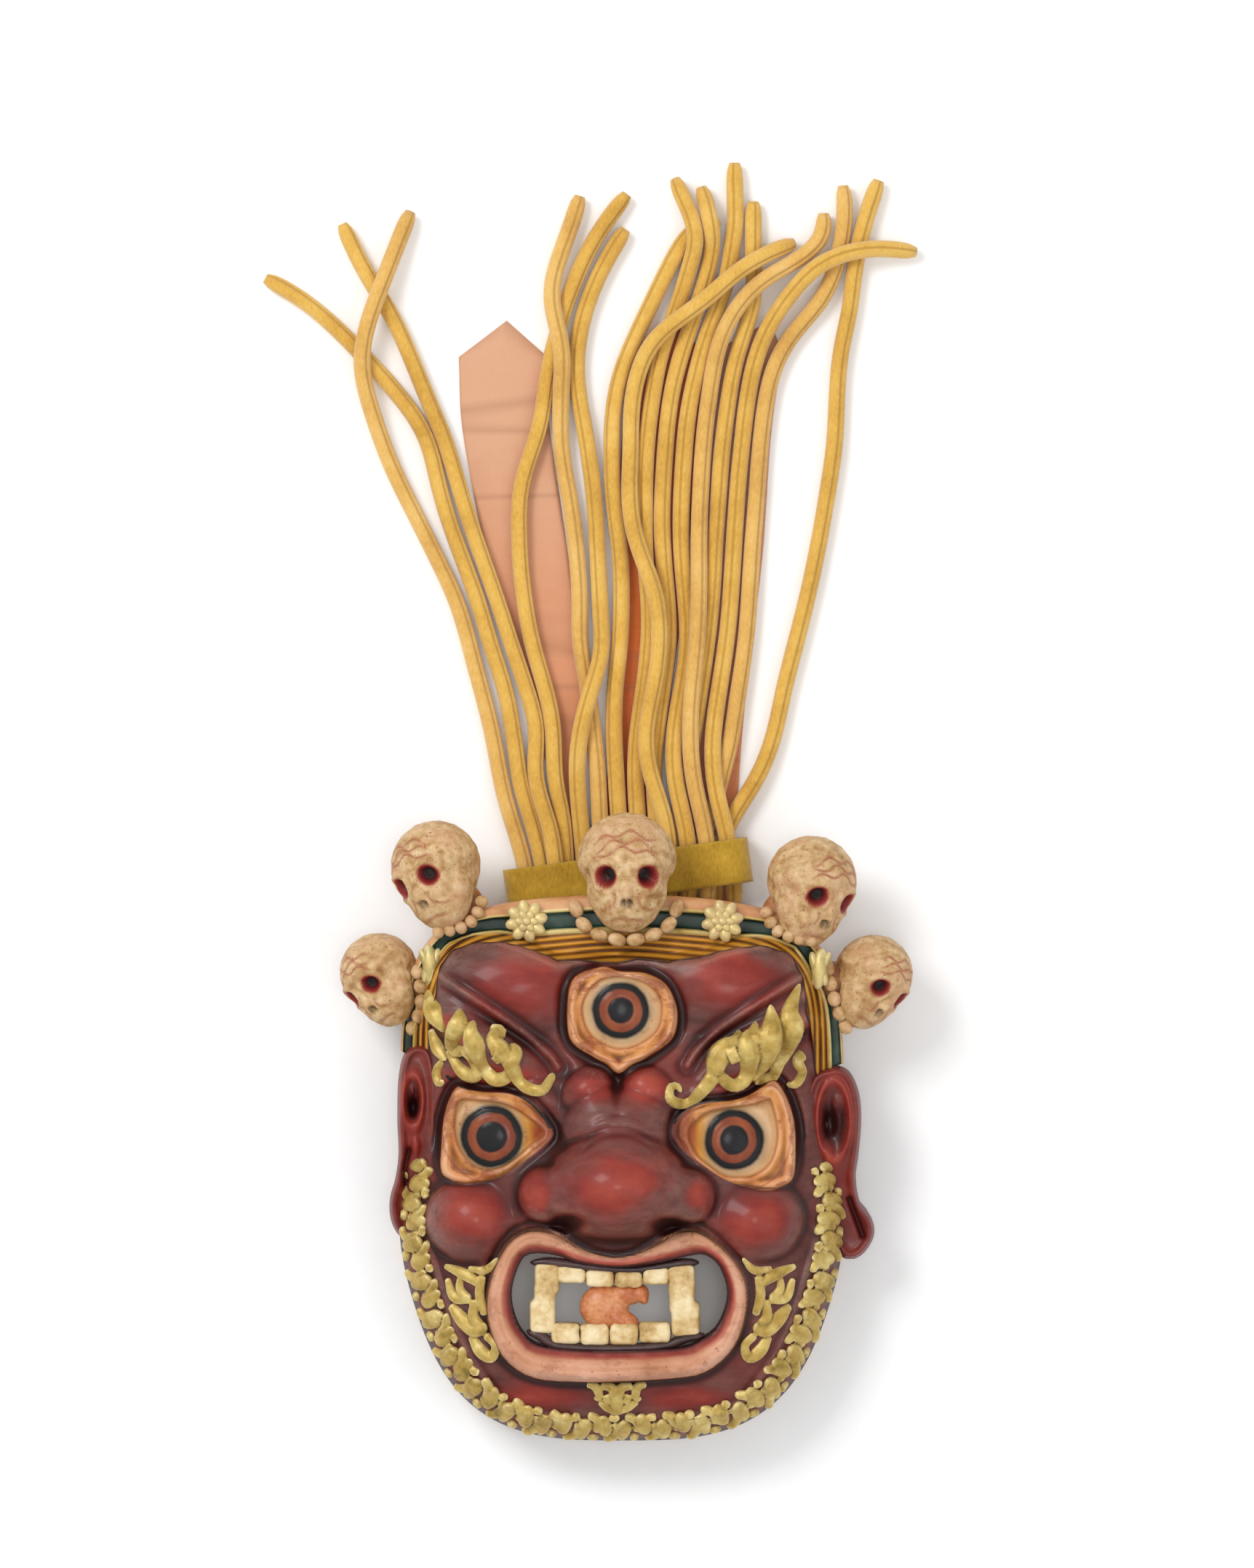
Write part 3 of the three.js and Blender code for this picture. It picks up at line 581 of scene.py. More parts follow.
def makeBand():
    size = bandSizes
    width, height = size["right"] - size["left"], size["height"] - size["low"]
    turn = math.radians(size["turn"])
    middleX = (size["left"] + size["right"]) / 2
    straight, tall = width - 2 * size["corner"], height - 2 * size["corner"]
    arc = math.pi / 2 * size["corner"]
    whole = 2 * (straight + tall) + 4 * arc

    def loopPoint(run):
        corner = size["corner"] - size["thick"] / 2
        for side in range(4):
            span = straight if side % 2 == 0 else tall
            if run <= span:
                along, bend = run - span / 2, 0
                break
            run -= span
            if run <= arc:
                along, bend = span / 2, run / arc * math.pi / 2
                break
            run -= arc
        out = (tall if side % 2 == 0 else straight) / 2
        point = Vector((along + corner * math.sin(bend), -out - corner * math.cos(bend)))
        return Matrix.Rotation(side * math.pi / 2, 2) @ point

    steps = 160
    stations = [loopPoint(whole * k / steps) for k in range(steps + 1)]

    def shape(u, v):
        i = np.rint(u * steps).astype(int)
        x = np.array([stations[k][0] for k in i])
        z = np.array([stations[k][1] for k in i]) + (size["low"] + size["height"]) / 2
        top = np.clip(z / size["height"], 0, 1) ** 3
        y = (v - 0.5) * size["length"] * 0.985
        z = z - 0.0008 * top * (0.5 + 0.5 * np.sin(x * 190 + v * 2))
        px = x * math.cos(turn) - y * math.sin(turn) + middleX
        py = x * math.sin(turn) + y * math.cos(turn) + size["middle"]
        return np.column_stack([px, py, z])

    bm = gridShape(steps, 14, shape, joined=True)
    band = keepPiece("felt_band", bm, [feltBand], ["hair_band"])
    felt = band.modifiers.new("felt", "SOLIDIFY")
    felt.thickness = size["thick"]
    felt.offset = 0
    return band


feltBand = feltFinish("feltBandOlive", "8c6914", "b08a22", "cca43a")
band = makeBand()
seamLevel = np.zeros(len(band.data.vertices))
addMeasure(band.data, "seam", seamLevel)

# the carved face: sizes in millimetres from the point between the eyes
print("carving the face")
faceSizes = {"centreY": -20, "halfWidth": 119, "jowl": 8, "top": 140, "bottom": 154, "topCorner": 5,
             "jawCorner": 3.1, "rim": 40,
             "rise": 54, "fall": 2.5, "round": 0.6, "wall": 12, "hollow": 62, "hollowFall": 2.6,
             "cells": 232, "step": 0.75}


def toFrame(points):  # face millimetres to frame metres
    points = np.asarray(points, float) * mm
    points[..., 0] += eyesMiddle.x
    points[..., 1] += eyesMiddle.y
    return points


def facePlaces(mesh):
    points = readPoints(mesh)
    return (points[:, 0] - eyesMiddle.x) / mm, (points[:, 1] - eyesMiddle.y) / mm


def outlineRadius(angle, inset=0.0):
    across, along = np.abs(np.cos(angle)), np.sin(angle)
    corner = np.where(along > 0, faceSizes["topCorner"], faceSizes["jawCorner"])
    half = np.where(along > 0, faceSizes["top"], faceSizes["bottom"]) - inset
    wide = faceSizes["halfWidth"] + faceSizes["jowl"] * bell(along + 0.25, 0.35) - inset
    return ((across / wide) ** corner + (np.abs(along) / half) ** corner) ** (-1 / corner)


def shareOf(x, y):
    angle = np.arctan2(y - faceSizes["centreY"], x)
    return np.clip(np.hypot(x, y - faceSizes["centreY"]) / outlineRadius(angle), 0, 1)


def blendHigh(a, b, soft):
    near = np.clip(soft - np.abs(a - b), 0, None) / soft
    return np.maximum(a, b) + near * near * soft * 0.25


def stepUp(value, low, high):
    t = np.clip((value - low) / (high - low), 0, 1)
    return t * t * (3 - 2 * t)


def mound(x, y, at, half, turn=0.0):
    # the upper half of an ellipsoid, falling away steeply outside it
    c, s = math.cos(math.radians(turn)), math.sin(math.radians(turn))
    u = ((x - at[0]) * c + (y - at[1]) * s) / half[0]
    v = ((y - at[1]) * c - (x - at[0]) * s) / half[1]
    d = u * u + v * v
    return at[2] + half[2] * np.where(d < 0.92, np.sqrt(np.clip(1 - d, 0, 1)), 0.283 - (d - 0.92) * 1.77)


def lineGap(x, y, points):
    best = np.full(x.shape, 1e9)
    for (ax, ay), (bx, by) in zip(points[:-1], points[1:]):
        dx, dy = bx - ax, by - ay
        t = np.clip(((x - ax) * dx + (y - ay) * dy) / (dx * dx + dy * dy + 1e-9), 0, 1)
        best = np.minimum(best, np.hypot(x - ax - t * dx, y - ay - t * dy))
    return best


def inside(x, y, corners, count=72):
    # distance inside a smooth closed outline, below zero outside
    loop = smoothLine(corners, count, closed=True)
    loop = np.vstack([loop, loop[:1]])
    within = np.zeros(x.shape, bool)
    for (ax, ay), (bx, by) in zip(loop[:-1], loop[1:]):
        if ay != by:
            within ^= ((ay > y) != (by > y)) & (x < (bx - ax) * (y - ay) / (by - ay) + ax)
    gap = lineGap(x, y, loop)
    return np.where(within, gap, -gap)


eyeFrames = [
    [(-92, 29), (-80.5, 26), (-62, 24.5), (-50, 18.5), (-41.7, 7.4), (-39.5, 1.8), (-43.6, -3.7),
    (-53.7, -12), (-63, -19.4), (-76, -25), (-90, -26.5), (-100, -23), (-103, -17), (-102.5, -6),
    (-101.5, 8), (-98, 21)],
    [(86, 32), (80, 29), (72, 24), (62.6, 21), (47, 19.5), (37, 15.5), (31, 9), (30.5, 0), (36.5, -8),
    (46, -15.5), (58, -23.5), (72, -28.5), (84, -29.8), (94.5, -26.5), (98, -20), (98.5, -7), (98, 6),
    (95.5, 17), (91.5, 26)],
    [(-2, 36), (-9, 41.5), (-16, 45.5), (-29, 55), (-31, 74), (-27.5, 90), (-12, 96.5), (-1, 94),
    (13.6, 93), (25.6, 86), (31.5, 71), (28.5, 56), (14.6, 45.5), (6, 41)]]
eyeOpenings = [
    [(-92, 20.5), (-77.7, 21), (-65, 18.5), (-53.7, 12), (-43.6, 2.8), (-51, -4), (-59.3, -11.1),
    (-70.4, -17.5), (-82.4, -16.5), (-91, -7.4), (-94.4, 5.5)],
    [(38, 3.7), (41.4, 9.2), (49.7, 14.8), (62.6, 17.6), (76.5, 19.4), (83.5, 22), (86.5, 13.9),
    (88.2, 2.8), (86.8, -8.3), (81.3, -17.6), (70, -22.4), (58, -21.5), (47.8, -15), (40.4, -7.4)],
    [(-1, 50), (-14, 55), (-21, 64), (-22, 77), (-14, 88), (-1, 91.5), (13, 88), (22, 78), (21.5, 64),
    (13, 54.5)]]
eyeCentres = [(-73.6, 0.5, 8.8), (63.5, -1.4, 8.3), (-0.7, 72.1, 7.4)]
lidLines = [
    [(-99, 34), (-92, 29.5), (-84, 27.5), (-72, 27.5), (-62, 25.8), (-52, 20.5), (-44, 12), (-40.5, 6)],
    [(29.5, 9), (36, 16.5), (47, 20.8), (62.6, 22.4), (72, 25.6), (80.4, 31), (88.5, 36.5)],
    [(-2, 33), (-10, 40), (-17, 44.3), (-30.5, 54), (-33, 74), (-29.5, 91), (-24, 96)],
    [(-2, 33), (6, 39.5), (15, 43.8), (30, 55), (33.2, 71), (27, 87.5), (14, 95)]]
lipsOutline = [
    (-52, -50.5), (-64.6, -57.8), (-72.8, -73.2), (-77.2, -93.8), (-74, -112.4), (-65, -127.8), (-49, -137),
    (-21, -139), (3, -138.5), (28, -137), (45, -134.5), (59, -125), (67.5, -112), (71.5, -95), (70, -79),
    (62, -67), (52, -57), (43, -51), (33, -52), (20, -58.5), (8, -65.5), (-3, -67.5), (-14, -66),
    (-25, -61), (-38, -53)]
mouthOpening = [
    (-52, -66), (-58, -72), (-62.5, -88), (-60.5, -102), (-55, -112), (-46, -118), (-20, -120.5),
    (8, -120.5), (34, -119), (44, -115), (53, -108.5), (58.5, -97), (59.5, -86), (55, -73), (47, -66.5),
    (38, -67), (20, -71), (-3, -73.5), (-24, -71), (-38, -66.5)]
browFolds = [
    [(-106, 93), (-92, 84), (-72, 71), (-55, 59), (-41, 47), (-36, 40)],
    [(104, 92), (92, 85), (74, 74), (56, 62), (43, 50), (37, 41)]]
jawFold = [(-110, -60), (-100, -92), (-91, -115), (-77, -139), (-60, -155), (-30, -160)]
noseFolds = [(13, 18), (7, 21), (1.5, 24)]
hairEdge = [
    (116, 8), (113, 24), (109, 38), (104, 70), (102.5, 90), (95, 103), (81, 108), (62.6, 106.3), (44, 101),
    (25.6, 98), (8, 100), (-3, 97), (-12, 98), (-36, 99), (-52.6, 106), (-66, 109.8), (-81.4, 109.8),
    (-96, 105.5), (-103, 96), (-105, 80), (-109, 50), (-112, 24), (-115, 8)]
redPlaces = [
    (-60, 86, 26, 16), (64, 88, 26, 15), (-4, -26, 26, 17), (-82, -44, 19, 15), (76, -46, 20, 15),
    (-17, 28, 12, 8), (14, 28, 12, 8), (-48, -30, 8, 10), (43, -32, 8, 10), (-44, -147, 24, 7),
    (40, -148, 22, 6), (-95, 60, 12, 8), (92, 60, 12, 8), (-72, 34, 24, 6), (68, 30, 22, 5)]


def carve(x, y):
    # the height of the carving, and the gaps that the paint follows
    share = shareOf(x, y)
    z = faceSizes["rim"] + faceSizes["rise"] * (1 - share ** faceSizes["fall"]) ** faceSizes["round"]
    frames = [inside(x, y, loop) for loop in eyeFrames]
    openings = [inside(x, y, loop, 56) for loop in eyeOpenings]
    lips, mouth = inside(x, y, lipsOutline), inside(x, y, mouthOpening)
    for side in (-1, 1):
        z = blendHigh(z, mound(x, y, (side * 60, 84, 68), (50, 33, 25), side * -10), 10)
        z = blendHigh(z, mound(x, y, (side * 70, 50, 73), (42, 13, 20), side * 33), 7)
        z = blendHigh(z, mound(x, y, (side * 17 - 2, 27, 84), (17, 13, 15), side * -35), 7)
        z = blendHigh(z, mound(x, y, (side * 79 - 4, -47, 62), (29, 27, 33), side * 10), 7)
        z = blendHigh(z, mound(x, y, (side * 47, 22, 80), (14, 12, 14), side * 45), 6)
    z = blendHigh(z, mound(x, y, (0, 68, 72), (42, 40, 18)), 10)
    for fold in browFolds:
        gap = lineGap(x, y, smoothLine(fold, 30))
        z = z + 1.6 * bell(gap, 1.8) - 2.2 * bell(gap - 4.5, 3.5)
    # nose: bulb, wings and the folded bridge
    z = blendHigh(z, mound(x, y, (-2, 4, 82), (32, 24, 26)), 16)
    z = blendHigh(z, mound(x, y, (-3, -27, 82), (41, 31, 46)), 20)
    for wing in ((-40, -32), (34, -33)):
        z = blendHigh(z, mound(x, y, (*wing, 76), (18.5, 17, 29)), 24)
    for at, wide in noseFolds:
        bow = at - 0.02 * (x + 2) ** 2
        z = z - 0.8 * bell(y - bow, 1.2) * stepUp(wide - np.abs(x + 2), 0, 8)
    for pit in ((-31, -47.5), (26, -49)):
        z = z - 9 * np.exp(-(((x - pit[0]) / 11) ** 2 + ((y - pit[1]) / 5.5) ** 2) ** 1.6)
    z = z - 4 * np.exp(-((x + 3) / 4) ** 2 - ((y - 27) / 12) ** 2)
    # eyes: a deep crease under the brow, a raised frame, then the ball
    for k, (frame0, opening) in enumerate(zip(frames, openings)):
        cx, cy, r = eyeCentres[k]
        crease = bell(frame0 + 3.2, 2.6)
        z = z - (4.5 if k < 2 else 2.5) * crease * (stepUp(y - cy, -25, 5) if k < 2 else 1)
        inner = stepUp(frame0, -0.8, 2.2)
        level = 84.5 if k < 2 else 92
        droop = 0.0022 * (x - cx) ** 2 + 0.10 * np.abs(x) * (k < 2) - 7 * (k < 2)
        lid = level - droop + 3.0 * bell(frame0 - 3.0, 2.4) + 2.2 * bell(opening + 1.6, 1.4)
        ball = level - droop - 3.2 + 6.5 * np.clip(1 - ((x - cx) ** 2 + (y - cy) ** 2) / 26 ** 2, 0, 1)
        body = lid + (ball - lid) * stepUp(opening, -0.6, 1.4)
        rings = sum(bell(np.hypot(x - cx, y - cy) - at, 0.6) for at in (r, r + 5, r + 8.4))
        z = z + (body - 0.5 * rings - z) * inner
    # lips: a proud ring that turns into the mouth
    across = np.clip(lips / (np.abs(lips) + np.abs(mouth) + 1e-6), 0, 1)
    swell = 1 - (1 - np.clip(across / 0.3, 0, 1)) ** 2
    ring = 84 - 0.0016 * (x + 3) ** 2 - 0.0016 * (y + 93) ** 2 + 9 * swell - 7 * stepUp(across, 0.45, 1)
    ring = ring - 0.9 * bell(across - 0.42, 0.05) + 0.5 * bell(across - 0.6, 0.05)
    moat = bell(lips + 2, 2.6)
    z = z - (1.2 + 2.8 * stepUp(y, -105, -60)) * moat
    z = z + (ring - z) * stepUp(lips, -0.8, 1.8)
    gap = lineGap(x, y, smoothLine(jawFold, 40))
    gap = np.minimum(gap, lineGap(-x, y, smoothLine(jawFold, 40)))
    z = z + 2.2 * bell(gap, 1.6)
    # the forehead runs in under the crown
    angle = np.arctan2(y - faceSizes["centreY"], x)
    edge = np.array(hairEdge, float)
    reach = np.interp(angle, np.arctan2(edge[:, 1] - faceSizes["centreY"], edge[:, 0]),
                      np.hypot(edge[:, 0], edge[:, 1] - faceSizes["centreY"]))
    beyond = np.hypot(x, y - faceSizes["centreY"]) - reach
    cap = 97 - 47 * stepUp(beyond, -7, 13) + 40 * stepUp(-beyond, 30, 70)
    z = np.where(y > 10, np.minimum(z, cap), z)
    red = np.zeros(x.shape)
    for cx, cy, wide, tall in redPlaces:
        red = np.maximum(red, np.exp(-(((x - cx) / wide) ** 2 + ((y - cy) / tall) ** 2)))
    z = z - 1.5 * bell(share - 0.995, 0.01)
    pupil = np.full(x.shape, 1e9)
    for cx, cy, r in eyeCentres:
        pupil = np.minimum(pupil, np.hypot(x - cx, y - cy) - r)
    lids = np.full(x.shape, 1e9)
    for line in lidLines:
        lids = np.minimum(lids, lineGap(x, y, smoothLine(line, 24)))
    inward = np.maximum(stepUp(x, -64, -44) * (x < 0), stepUp(-x, -54, -36) * (x > 0)) * (y < 34)
    return {"height": z, "frame": np.maximum.reduce(frames), "opening": np.maximum.reduce(openings),
            "lips": lips, "mouth": mouth, "pupil": pupil, "lid": lids, "inward": inward, "red": red}


def blur(field, reach):
    for axis in (0, 1):
        for turn in range(3):
            pad = [(reach + 1, reach) if k == axis else (0, 0) for k in range(2)]
            total = np.cumsum(np.pad(field, pad, mode="edge"), axis=axis)
            width = 2 * reach + 1
            ahead = np.take(total, range(width, total.shape[axis]), axis=axis)
            field = (ahead - np.take(total, range(total.shape[axis] - width), axis=axis)) / width
    return field


tableX = np.arange(-150, 151, faceSizes["step"])
tableY = np.arange(-190, 152, faceSizes["step"])
gridX, gridY = np.meshgrid(tableX, tableY)
fields = carve(gridX, gridY)
# the height less its blurs, how far each place stands proud or sinks; the lacquer uses them to paint shade
# into the hollows and highlight onto the high places
fields["fine"] = fields["height"] - blur(fields["height"], 3)
fields["broad"] = fields["height"] - blur(fields["height"], 12)


def lookUp(name, x, y):
    field = fields[name]
    i = np.clip((np.asarray(x) - tableX[0]) / faceSizes["step"], 0, len(tableX) - 1.001)
    j = np.clip((np.asarray(y) - tableY[0]) / faceSizes["step"], 0, len(tableY) - 1.001)
    a, b = i.astype(int), j.astype(int)
    s, t = i - a, j - b
    return (field[b, a] * (1 - s) + field[b, a + 1] * s) * (1 - t) + (field[b + 1, a] * (1 - s)
                                                                      + field[b + 1, a + 1] * s) * t


def lacquerFinish():
    paint = Finish("oxbloodLacquer", Coat_Weight=0.16, Coat_Roughness=0.16)
    fine, broad = paint.measure("fine"), paint.measure("broad")
    cloud, blot, grain = paint.noise(14, 4), paint.noise(45, 4), paint.noise(420, 3)
    streak = paint.noise(75, 4, stretch=(1, 0.5, 1))
    red = paint.measure("red") + (paint.noise(32, 5, rough=0.65) - 0.5) * 1.1
    brush = paint.noise(150, 3, stretch=(0.35, 1, 1))
    # the red darkens in the carving's hollows and lightens on its high places: partly dark glaze and
    # dry-brushed red, partly painted shade and painted highlight
    lift = broad * 0.032 + fine * 0.09 + (cloud - 0.5) * 0.8 + (blot - 0.5) * 0.5
    lift = lift + (brush - 0.5) * 0.35 + red * 0.36 + 0.36
    skin = paint.ramp(lift, [(0.0, tone("170504")), (0.2, tone("3d0c09")), (0.42, tone("681913")),
                             (0.66, tone("7d251c")), (0.95, tone("9a3d2e"))])
    # a grey-mauve haze on the raised, smooth places, kept off the red and the creases: partly dust, partly
    # painted sheen of the varnish
    haze = paint.noise(12, 4, stretch=(1, 1.4, 1))
    dustAndSheen = (1 - red.edge(0.34, 0.5)) * (broad * 0.09 + haze * 1.5 - 0.28).within()
    dustAndSheen = dustAndSheen * (1 - (-fine - 0.3).edge(0, 0.8))
    skin = paint.mix(dustAndSheen * 0.8, skin, paint.mix(brush.edge(0.5, 0.3), tone("503c37"), tone("6b554e")))
    frame0, opening = paint.measure("frame"), paint.measure("opening")
    pupil = paint.measure("pupil") + (blot - 0.5) * 2.2 + (paint.noise(110, 3) - 0.5) * 1.6
    scuff = (paint.noise(70, 5, rough=0.7, stretch=(0.6, 1, 1)) + fine * 0.03).edge(0.6, 0.07)
    lips, mouth, lid = paint.measure("lips"), paint.measure("mouth"), paint.measure("lid")
    # the eye frames' peach is darker in the carving's hollows: painted shade over the real brush streaks
    peach = paint.ramp(streak * 0.75 + fine * 0.09 + 0.12, [
        (0.25, tone("8a4a22")), (0.42, tone("b26a36")), (0.56, tone("cd8c5c")), (0.8, tone("dda678"))])
    ochre = paint.mix(streak.edge(0.5, 0.2), tone("a8662a"), tone("c98a45"))
    ring = (opening + 3.6 + (blot - 0.5) * 5).around(0, 1.7, 1.8)
    frameTone = paint.mix(ring * 0.85, peach, ochre)
    outerRing = (opening + 7.4 + (blot - 0.5) * 4).around(0, 0.5, 1.0)
    frameTone = paint.mix(outerRing * 0.6, frameTone, tone("8e4a20"))
    frameTone = paint.mix(paint.measure("inward").edge(0.86, 0.24) * 0.75, frameTone, tone("7e2a18"))
    frameTone = paint.mix(scuff * 0.7, frameTone, tone("8a4122"))
    colour = paint.mix(frame0.edge(0.1, 0.7), skin, frameTone)
    cream = paint.mix(streak.edge(0.56, 0.3) * 0.6, tone("d3b088"), tone("b3804e"))
    cream = paint.mix((1 - (opening - 3 + (blot - 0.5) * 4).edge(0, 4)) * 0.55, cream, tone("b98648"))
    cornerTone = paint.mix(paint.measure("inward").edge(0.75, 0.4), tone("c58a34"), tone("8c2a17"))
    white = paint.mix(paint.measure("inward").edge(0.28, 0.5), cream, cornerTone)
    white = paint.mix((opening - 0.9).edge(0, 2.4), tone("a06a3c"), white)
    white = paint.mix(scuff * 0.5, white, tone("8a4a26"))
    colour = paint.mix(opening.edge(0, 0.5), colour, white)
    colour = paint.mix((1 - pupil.edge(10.6, 4.2)) * 0.6, colour, tone("5a4a2c"))
    colour = paint.mix(1 - pupil.edge(8.7, 1.5), colour, tone("08080a"))
    iris = paint.mix(streak.edge(0.5, 0.3), tone("71301a"), tone("8c4726"))
    colour = paint.mix(1 - pupil.edge(4.7, 1.1), colour, iris)
    colour = paint.mix(1 - pupil.edge(0, 1.0), colour, tone("0c0c10"))
    inner = paint.mix(streak.edge(0.55, 0.3), tone("a8423a"), tone("c06a58"))
    # the lips are darker in the carving's hollows: painted shade over real mottling
    lipTone = paint.ramp(paint.noise(30, 4) * 0.8 + fine * 0.07 + 0.12, [
        (0.3, tone("8f5a3c")), (0.46, tone("b8805e")), (0.62, tone("c99274")), (0.82, tone("d4a488"))])
    speck = paint.noise(330, 2).edge(0.66, 0.06)
    lipTone = paint.mix((speck + scuff * 0.6).within() * 0.55, lipTone, tone("7a4524"))
    lipTone = paint.mix((mouth + 4.6 + (streak - 0.5) * 4).edge(0, 2.2), lipTone, inner)
    # a near-black band where the lips turn down into the mouth: painted shade
    lipTone = paint.mix((mouth + 1.1).edge(0, 1.2), lipTone, tone("4a1a1a"))
    colour = paint.mix(lips.edge(0.1, 0.8), colour, lipTone)
    colour = paint.mix((1 - lid.edge(1.15, 0.7)) * (1 - opening.edge(0, 0.4)), colour, tone("15100f"))
    # the carving's creases darkened nearly to black: painted shade, partly dark glaze
    crease = (-fine - 0.5).edge(0, 1.1) * (1 - opening.edge(0, 0.5))
    colour = paint.mix(crease * 0.75, colour, tone("2a0906"))
    # the high ridges turn pale pinkish grey: partly rubbed paint, partly painted highlight
    wearAndHighlight = (fine - 1.2 + (grain - 0.5) * 2.2).edge(0, 0.8) * 0.16
    colour = paint.mix(wearAndHighlight, colour, tone("b98a78"))
    height = grain * 0.35 + blot * 0.5 + streak * 0.25
    rough = 0.4 + cloud * 0.2 + lips.edge(0.1, 0.8) * 0.2 + frame0.edge(0.1, 0.8) * 0.12
    return paint.feed(Base_Color=colour, Roughness=rough,
                      Normal=paint.bump(height + brush * 0.4, 0.0008, 0.4))


def woodFinish():
    wood = Finish("bareWood")
    rings = wood.noise(26, 4, stretch=(1, 0.12, 1))
    pore = wood.noise(500, 2, stretch=(1, 0.1, 1))
    colour = wood.ramp(rings * 0.8 + pore * 0.2, [
        (0.3, tone("8f6c46")), (0.5, tone("b89265")), (0.75, tone("d0ad80"))])
    return wood.feed(Base_Color=colour, Roughness=0.7 + pore * 0.15,
                     Normal=wood.bump(rings + pore * 0.5, 0.0006, 0.5))


lacquer, bareWood = lacquerFinish(), woodFinish()


def cutMouth(piece):
    loop = smoothLine(mouthOpening, 90, closed=True)
    bm = bmesh.new()
    low = [bm.verts.new(toFrame((x, y, -6))) for x, y in loop]
    bm.faces.new(low)
    raised = bmesh.ops.extrude_face_region(bm, geom=bm.faces[:])["geom"]
    bmesh.ops.translate(bm, verts=[v for v in raised if isinstance(v, bmesh.types.BMVert)], vec=(0, 0, 0.16))
    bmesh.ops.recalc_face_normals(bm, faces=bm.faces)
    mesh = bpy.data.meshes.new("mouthCutter")
    bm.to_mesh(mesh)
    bm.free()
    cutter = bpy.data.objects.new("mouthCutter", mesh)
    bpy.context.scene.collection.objects.link(cutter)
    cut = piece.modifiers.new("mouth", "BOOLEAN")
    cut.operation, cut.object, cut.solver = "DIFFERENCE", cutter, "MANIFOLD"
    bpy.context.view_layer.update()
    done = bpy.data.meshes.new_from_object(piece.evaluated_get(bpy.context.evaluated_depsgraph_get()))
    piece.modifiers.clear()
    old = piece.data
    piece.data = done
    bpy.data.meshes.remove(old)
    bpy.data.objects.remove(cutter)
    bpy.data.meshes.remove(mesh)


def makeFace():
    cells, centreY = faceSizes["cells"], faceSizes["centreY"]

    def front(u, v):
        u, v = 2 * u - 1, 2 * v - 1
        share = np.maximum(np.abs(u), np.abs(v))
        angle = np.arctan2(v * 1.15, u)
        radius = share * outlineRadius(angle)
        x, y = radius * np.cos(angle), centreY + radius * np.sin(angle)
        return toFrame(np.column_stack([x, y, lookUp("height", x, y)]))

    bm = gridShape(cells, cells, front)
    faceUp(bm)
    wall = faceSizes["wall"]
    rows = [(0, 30), (0, 18), (0, 6), (0.8, 0), (wall - 1, 0)]
    shares = (0.985, 0.96, 0.92, 0.86, 0.78, 0.68, 0.56, 0.43, 0.3, 0.16, 0.05)
    rows += [(wall, 2 + faceSizes["hollow"] * (1 - s ** faceSizes["hollowFall"]) ** 0.5, s) for s in shares]
    edge = [e for e in bm.edges if e.is_boundary]
    for row in rows:
        made = bmesh.ops.extrude_edge_only(bm, edges=edge)["geom"]
        edge = [g for g in made if isinstance(g, bmesh.types.BMEdge)]
        for vert in [g for g in made if isinstance(g, bmesh.types.BMVert)]:
            x, y = vert.co.x - eyesMiddle.x, vert.co.y - eyesMiddle.y - centreY * mm
            angle = math.atan2(y, x)
            radius = float(outlineRadius(np.array(angle), row[0])) * mm * (row[2] if len(row) > 2 else 1)
            vert.co.x = eyesMiddle.x + radius * math.cos(angle)
            vert.co.y = eyesMiddle.y + centreY * mm + radius * math.sin(angle)
            vert.co.z = row[1] * mm
    bmesh.ops.edgeloop_fill(bm, edges=edge)
    face = keepPiece("face", bm, [lacquer, bareWood], ["mask"])
    cutMouth(face)
    mesh = face.data
    x, y = facePlaces(mesh)
    for name in ("frame", "opening", "lips", "mouth", "pupil", "lid", "inward", "fine", "broad", "red"):
        addMeasure(mesh, name, lookUp(name, x, y))
    normals = np.empty(len(mesh.polygons) * 3)
    mesh.polygons.foreach_get("normal", normals)
    centres = np.empty(len(mesh.polygons) * 3)
    mesh.polygons.foreach_get("center", centres)
    down = normals.reshape(-1, 3)[:, 2] < -0.02
    low = centres.reshape(-1, 3)[:, 2] < 0.001
    mesh.polygons.foreach_set("material_index", (down | low).astype(np.int32))
    mesh.shade_smooth()


makeFace()


def reachIn(finish, share, low, high):  # a rubbed edge that also carries painted highlight, or a hollow darkened with painted shade, from the mesh's own sharpness
    point = finish.node("ShaderNodeNewGeometry", out="Pointiness")
    return point.edge((low + high) / 2, high - low) * share


def goldFinish(name="antiqueGold", pale="e2d08e", mid="a98a40", deep="4a3a14"):
    gold = Finish(name, Metallic=0.35, Coat_Weight=0.15, Coat_Roughness=0.2)
    cloud, rub, grain = gold.noise(60, 4), gold.noise(170, 4), gold.noise(700, 2)
    tint = gold.ramp(cloud * 0.55 + rub * 0.45, [
        (0.3, tone("74632c")), (0.43, tone(mid)), (0.56, tone("bfa55e")), (0.72, tone(pale))])
    # darker in the carving's hollows: painted shade
    tint = gold.mix(reachIn(gold, 0.95, 0.492, 0.45), tint, tone(deep))
    # paler on sharp edges: partly rubbed gilt, partly painted highlight
    tint = gold.mix(reachIn(gold, 0.7, 0.51, 0.57), tint, tone("f0e2b0"))
    return gold.feed(Base_Color=tint, Roughness=0.36 + rub * 0.22,
                     Normal=gold.bump(rub * 0.6 + grain * 0.4, 0.0006, 0.4))


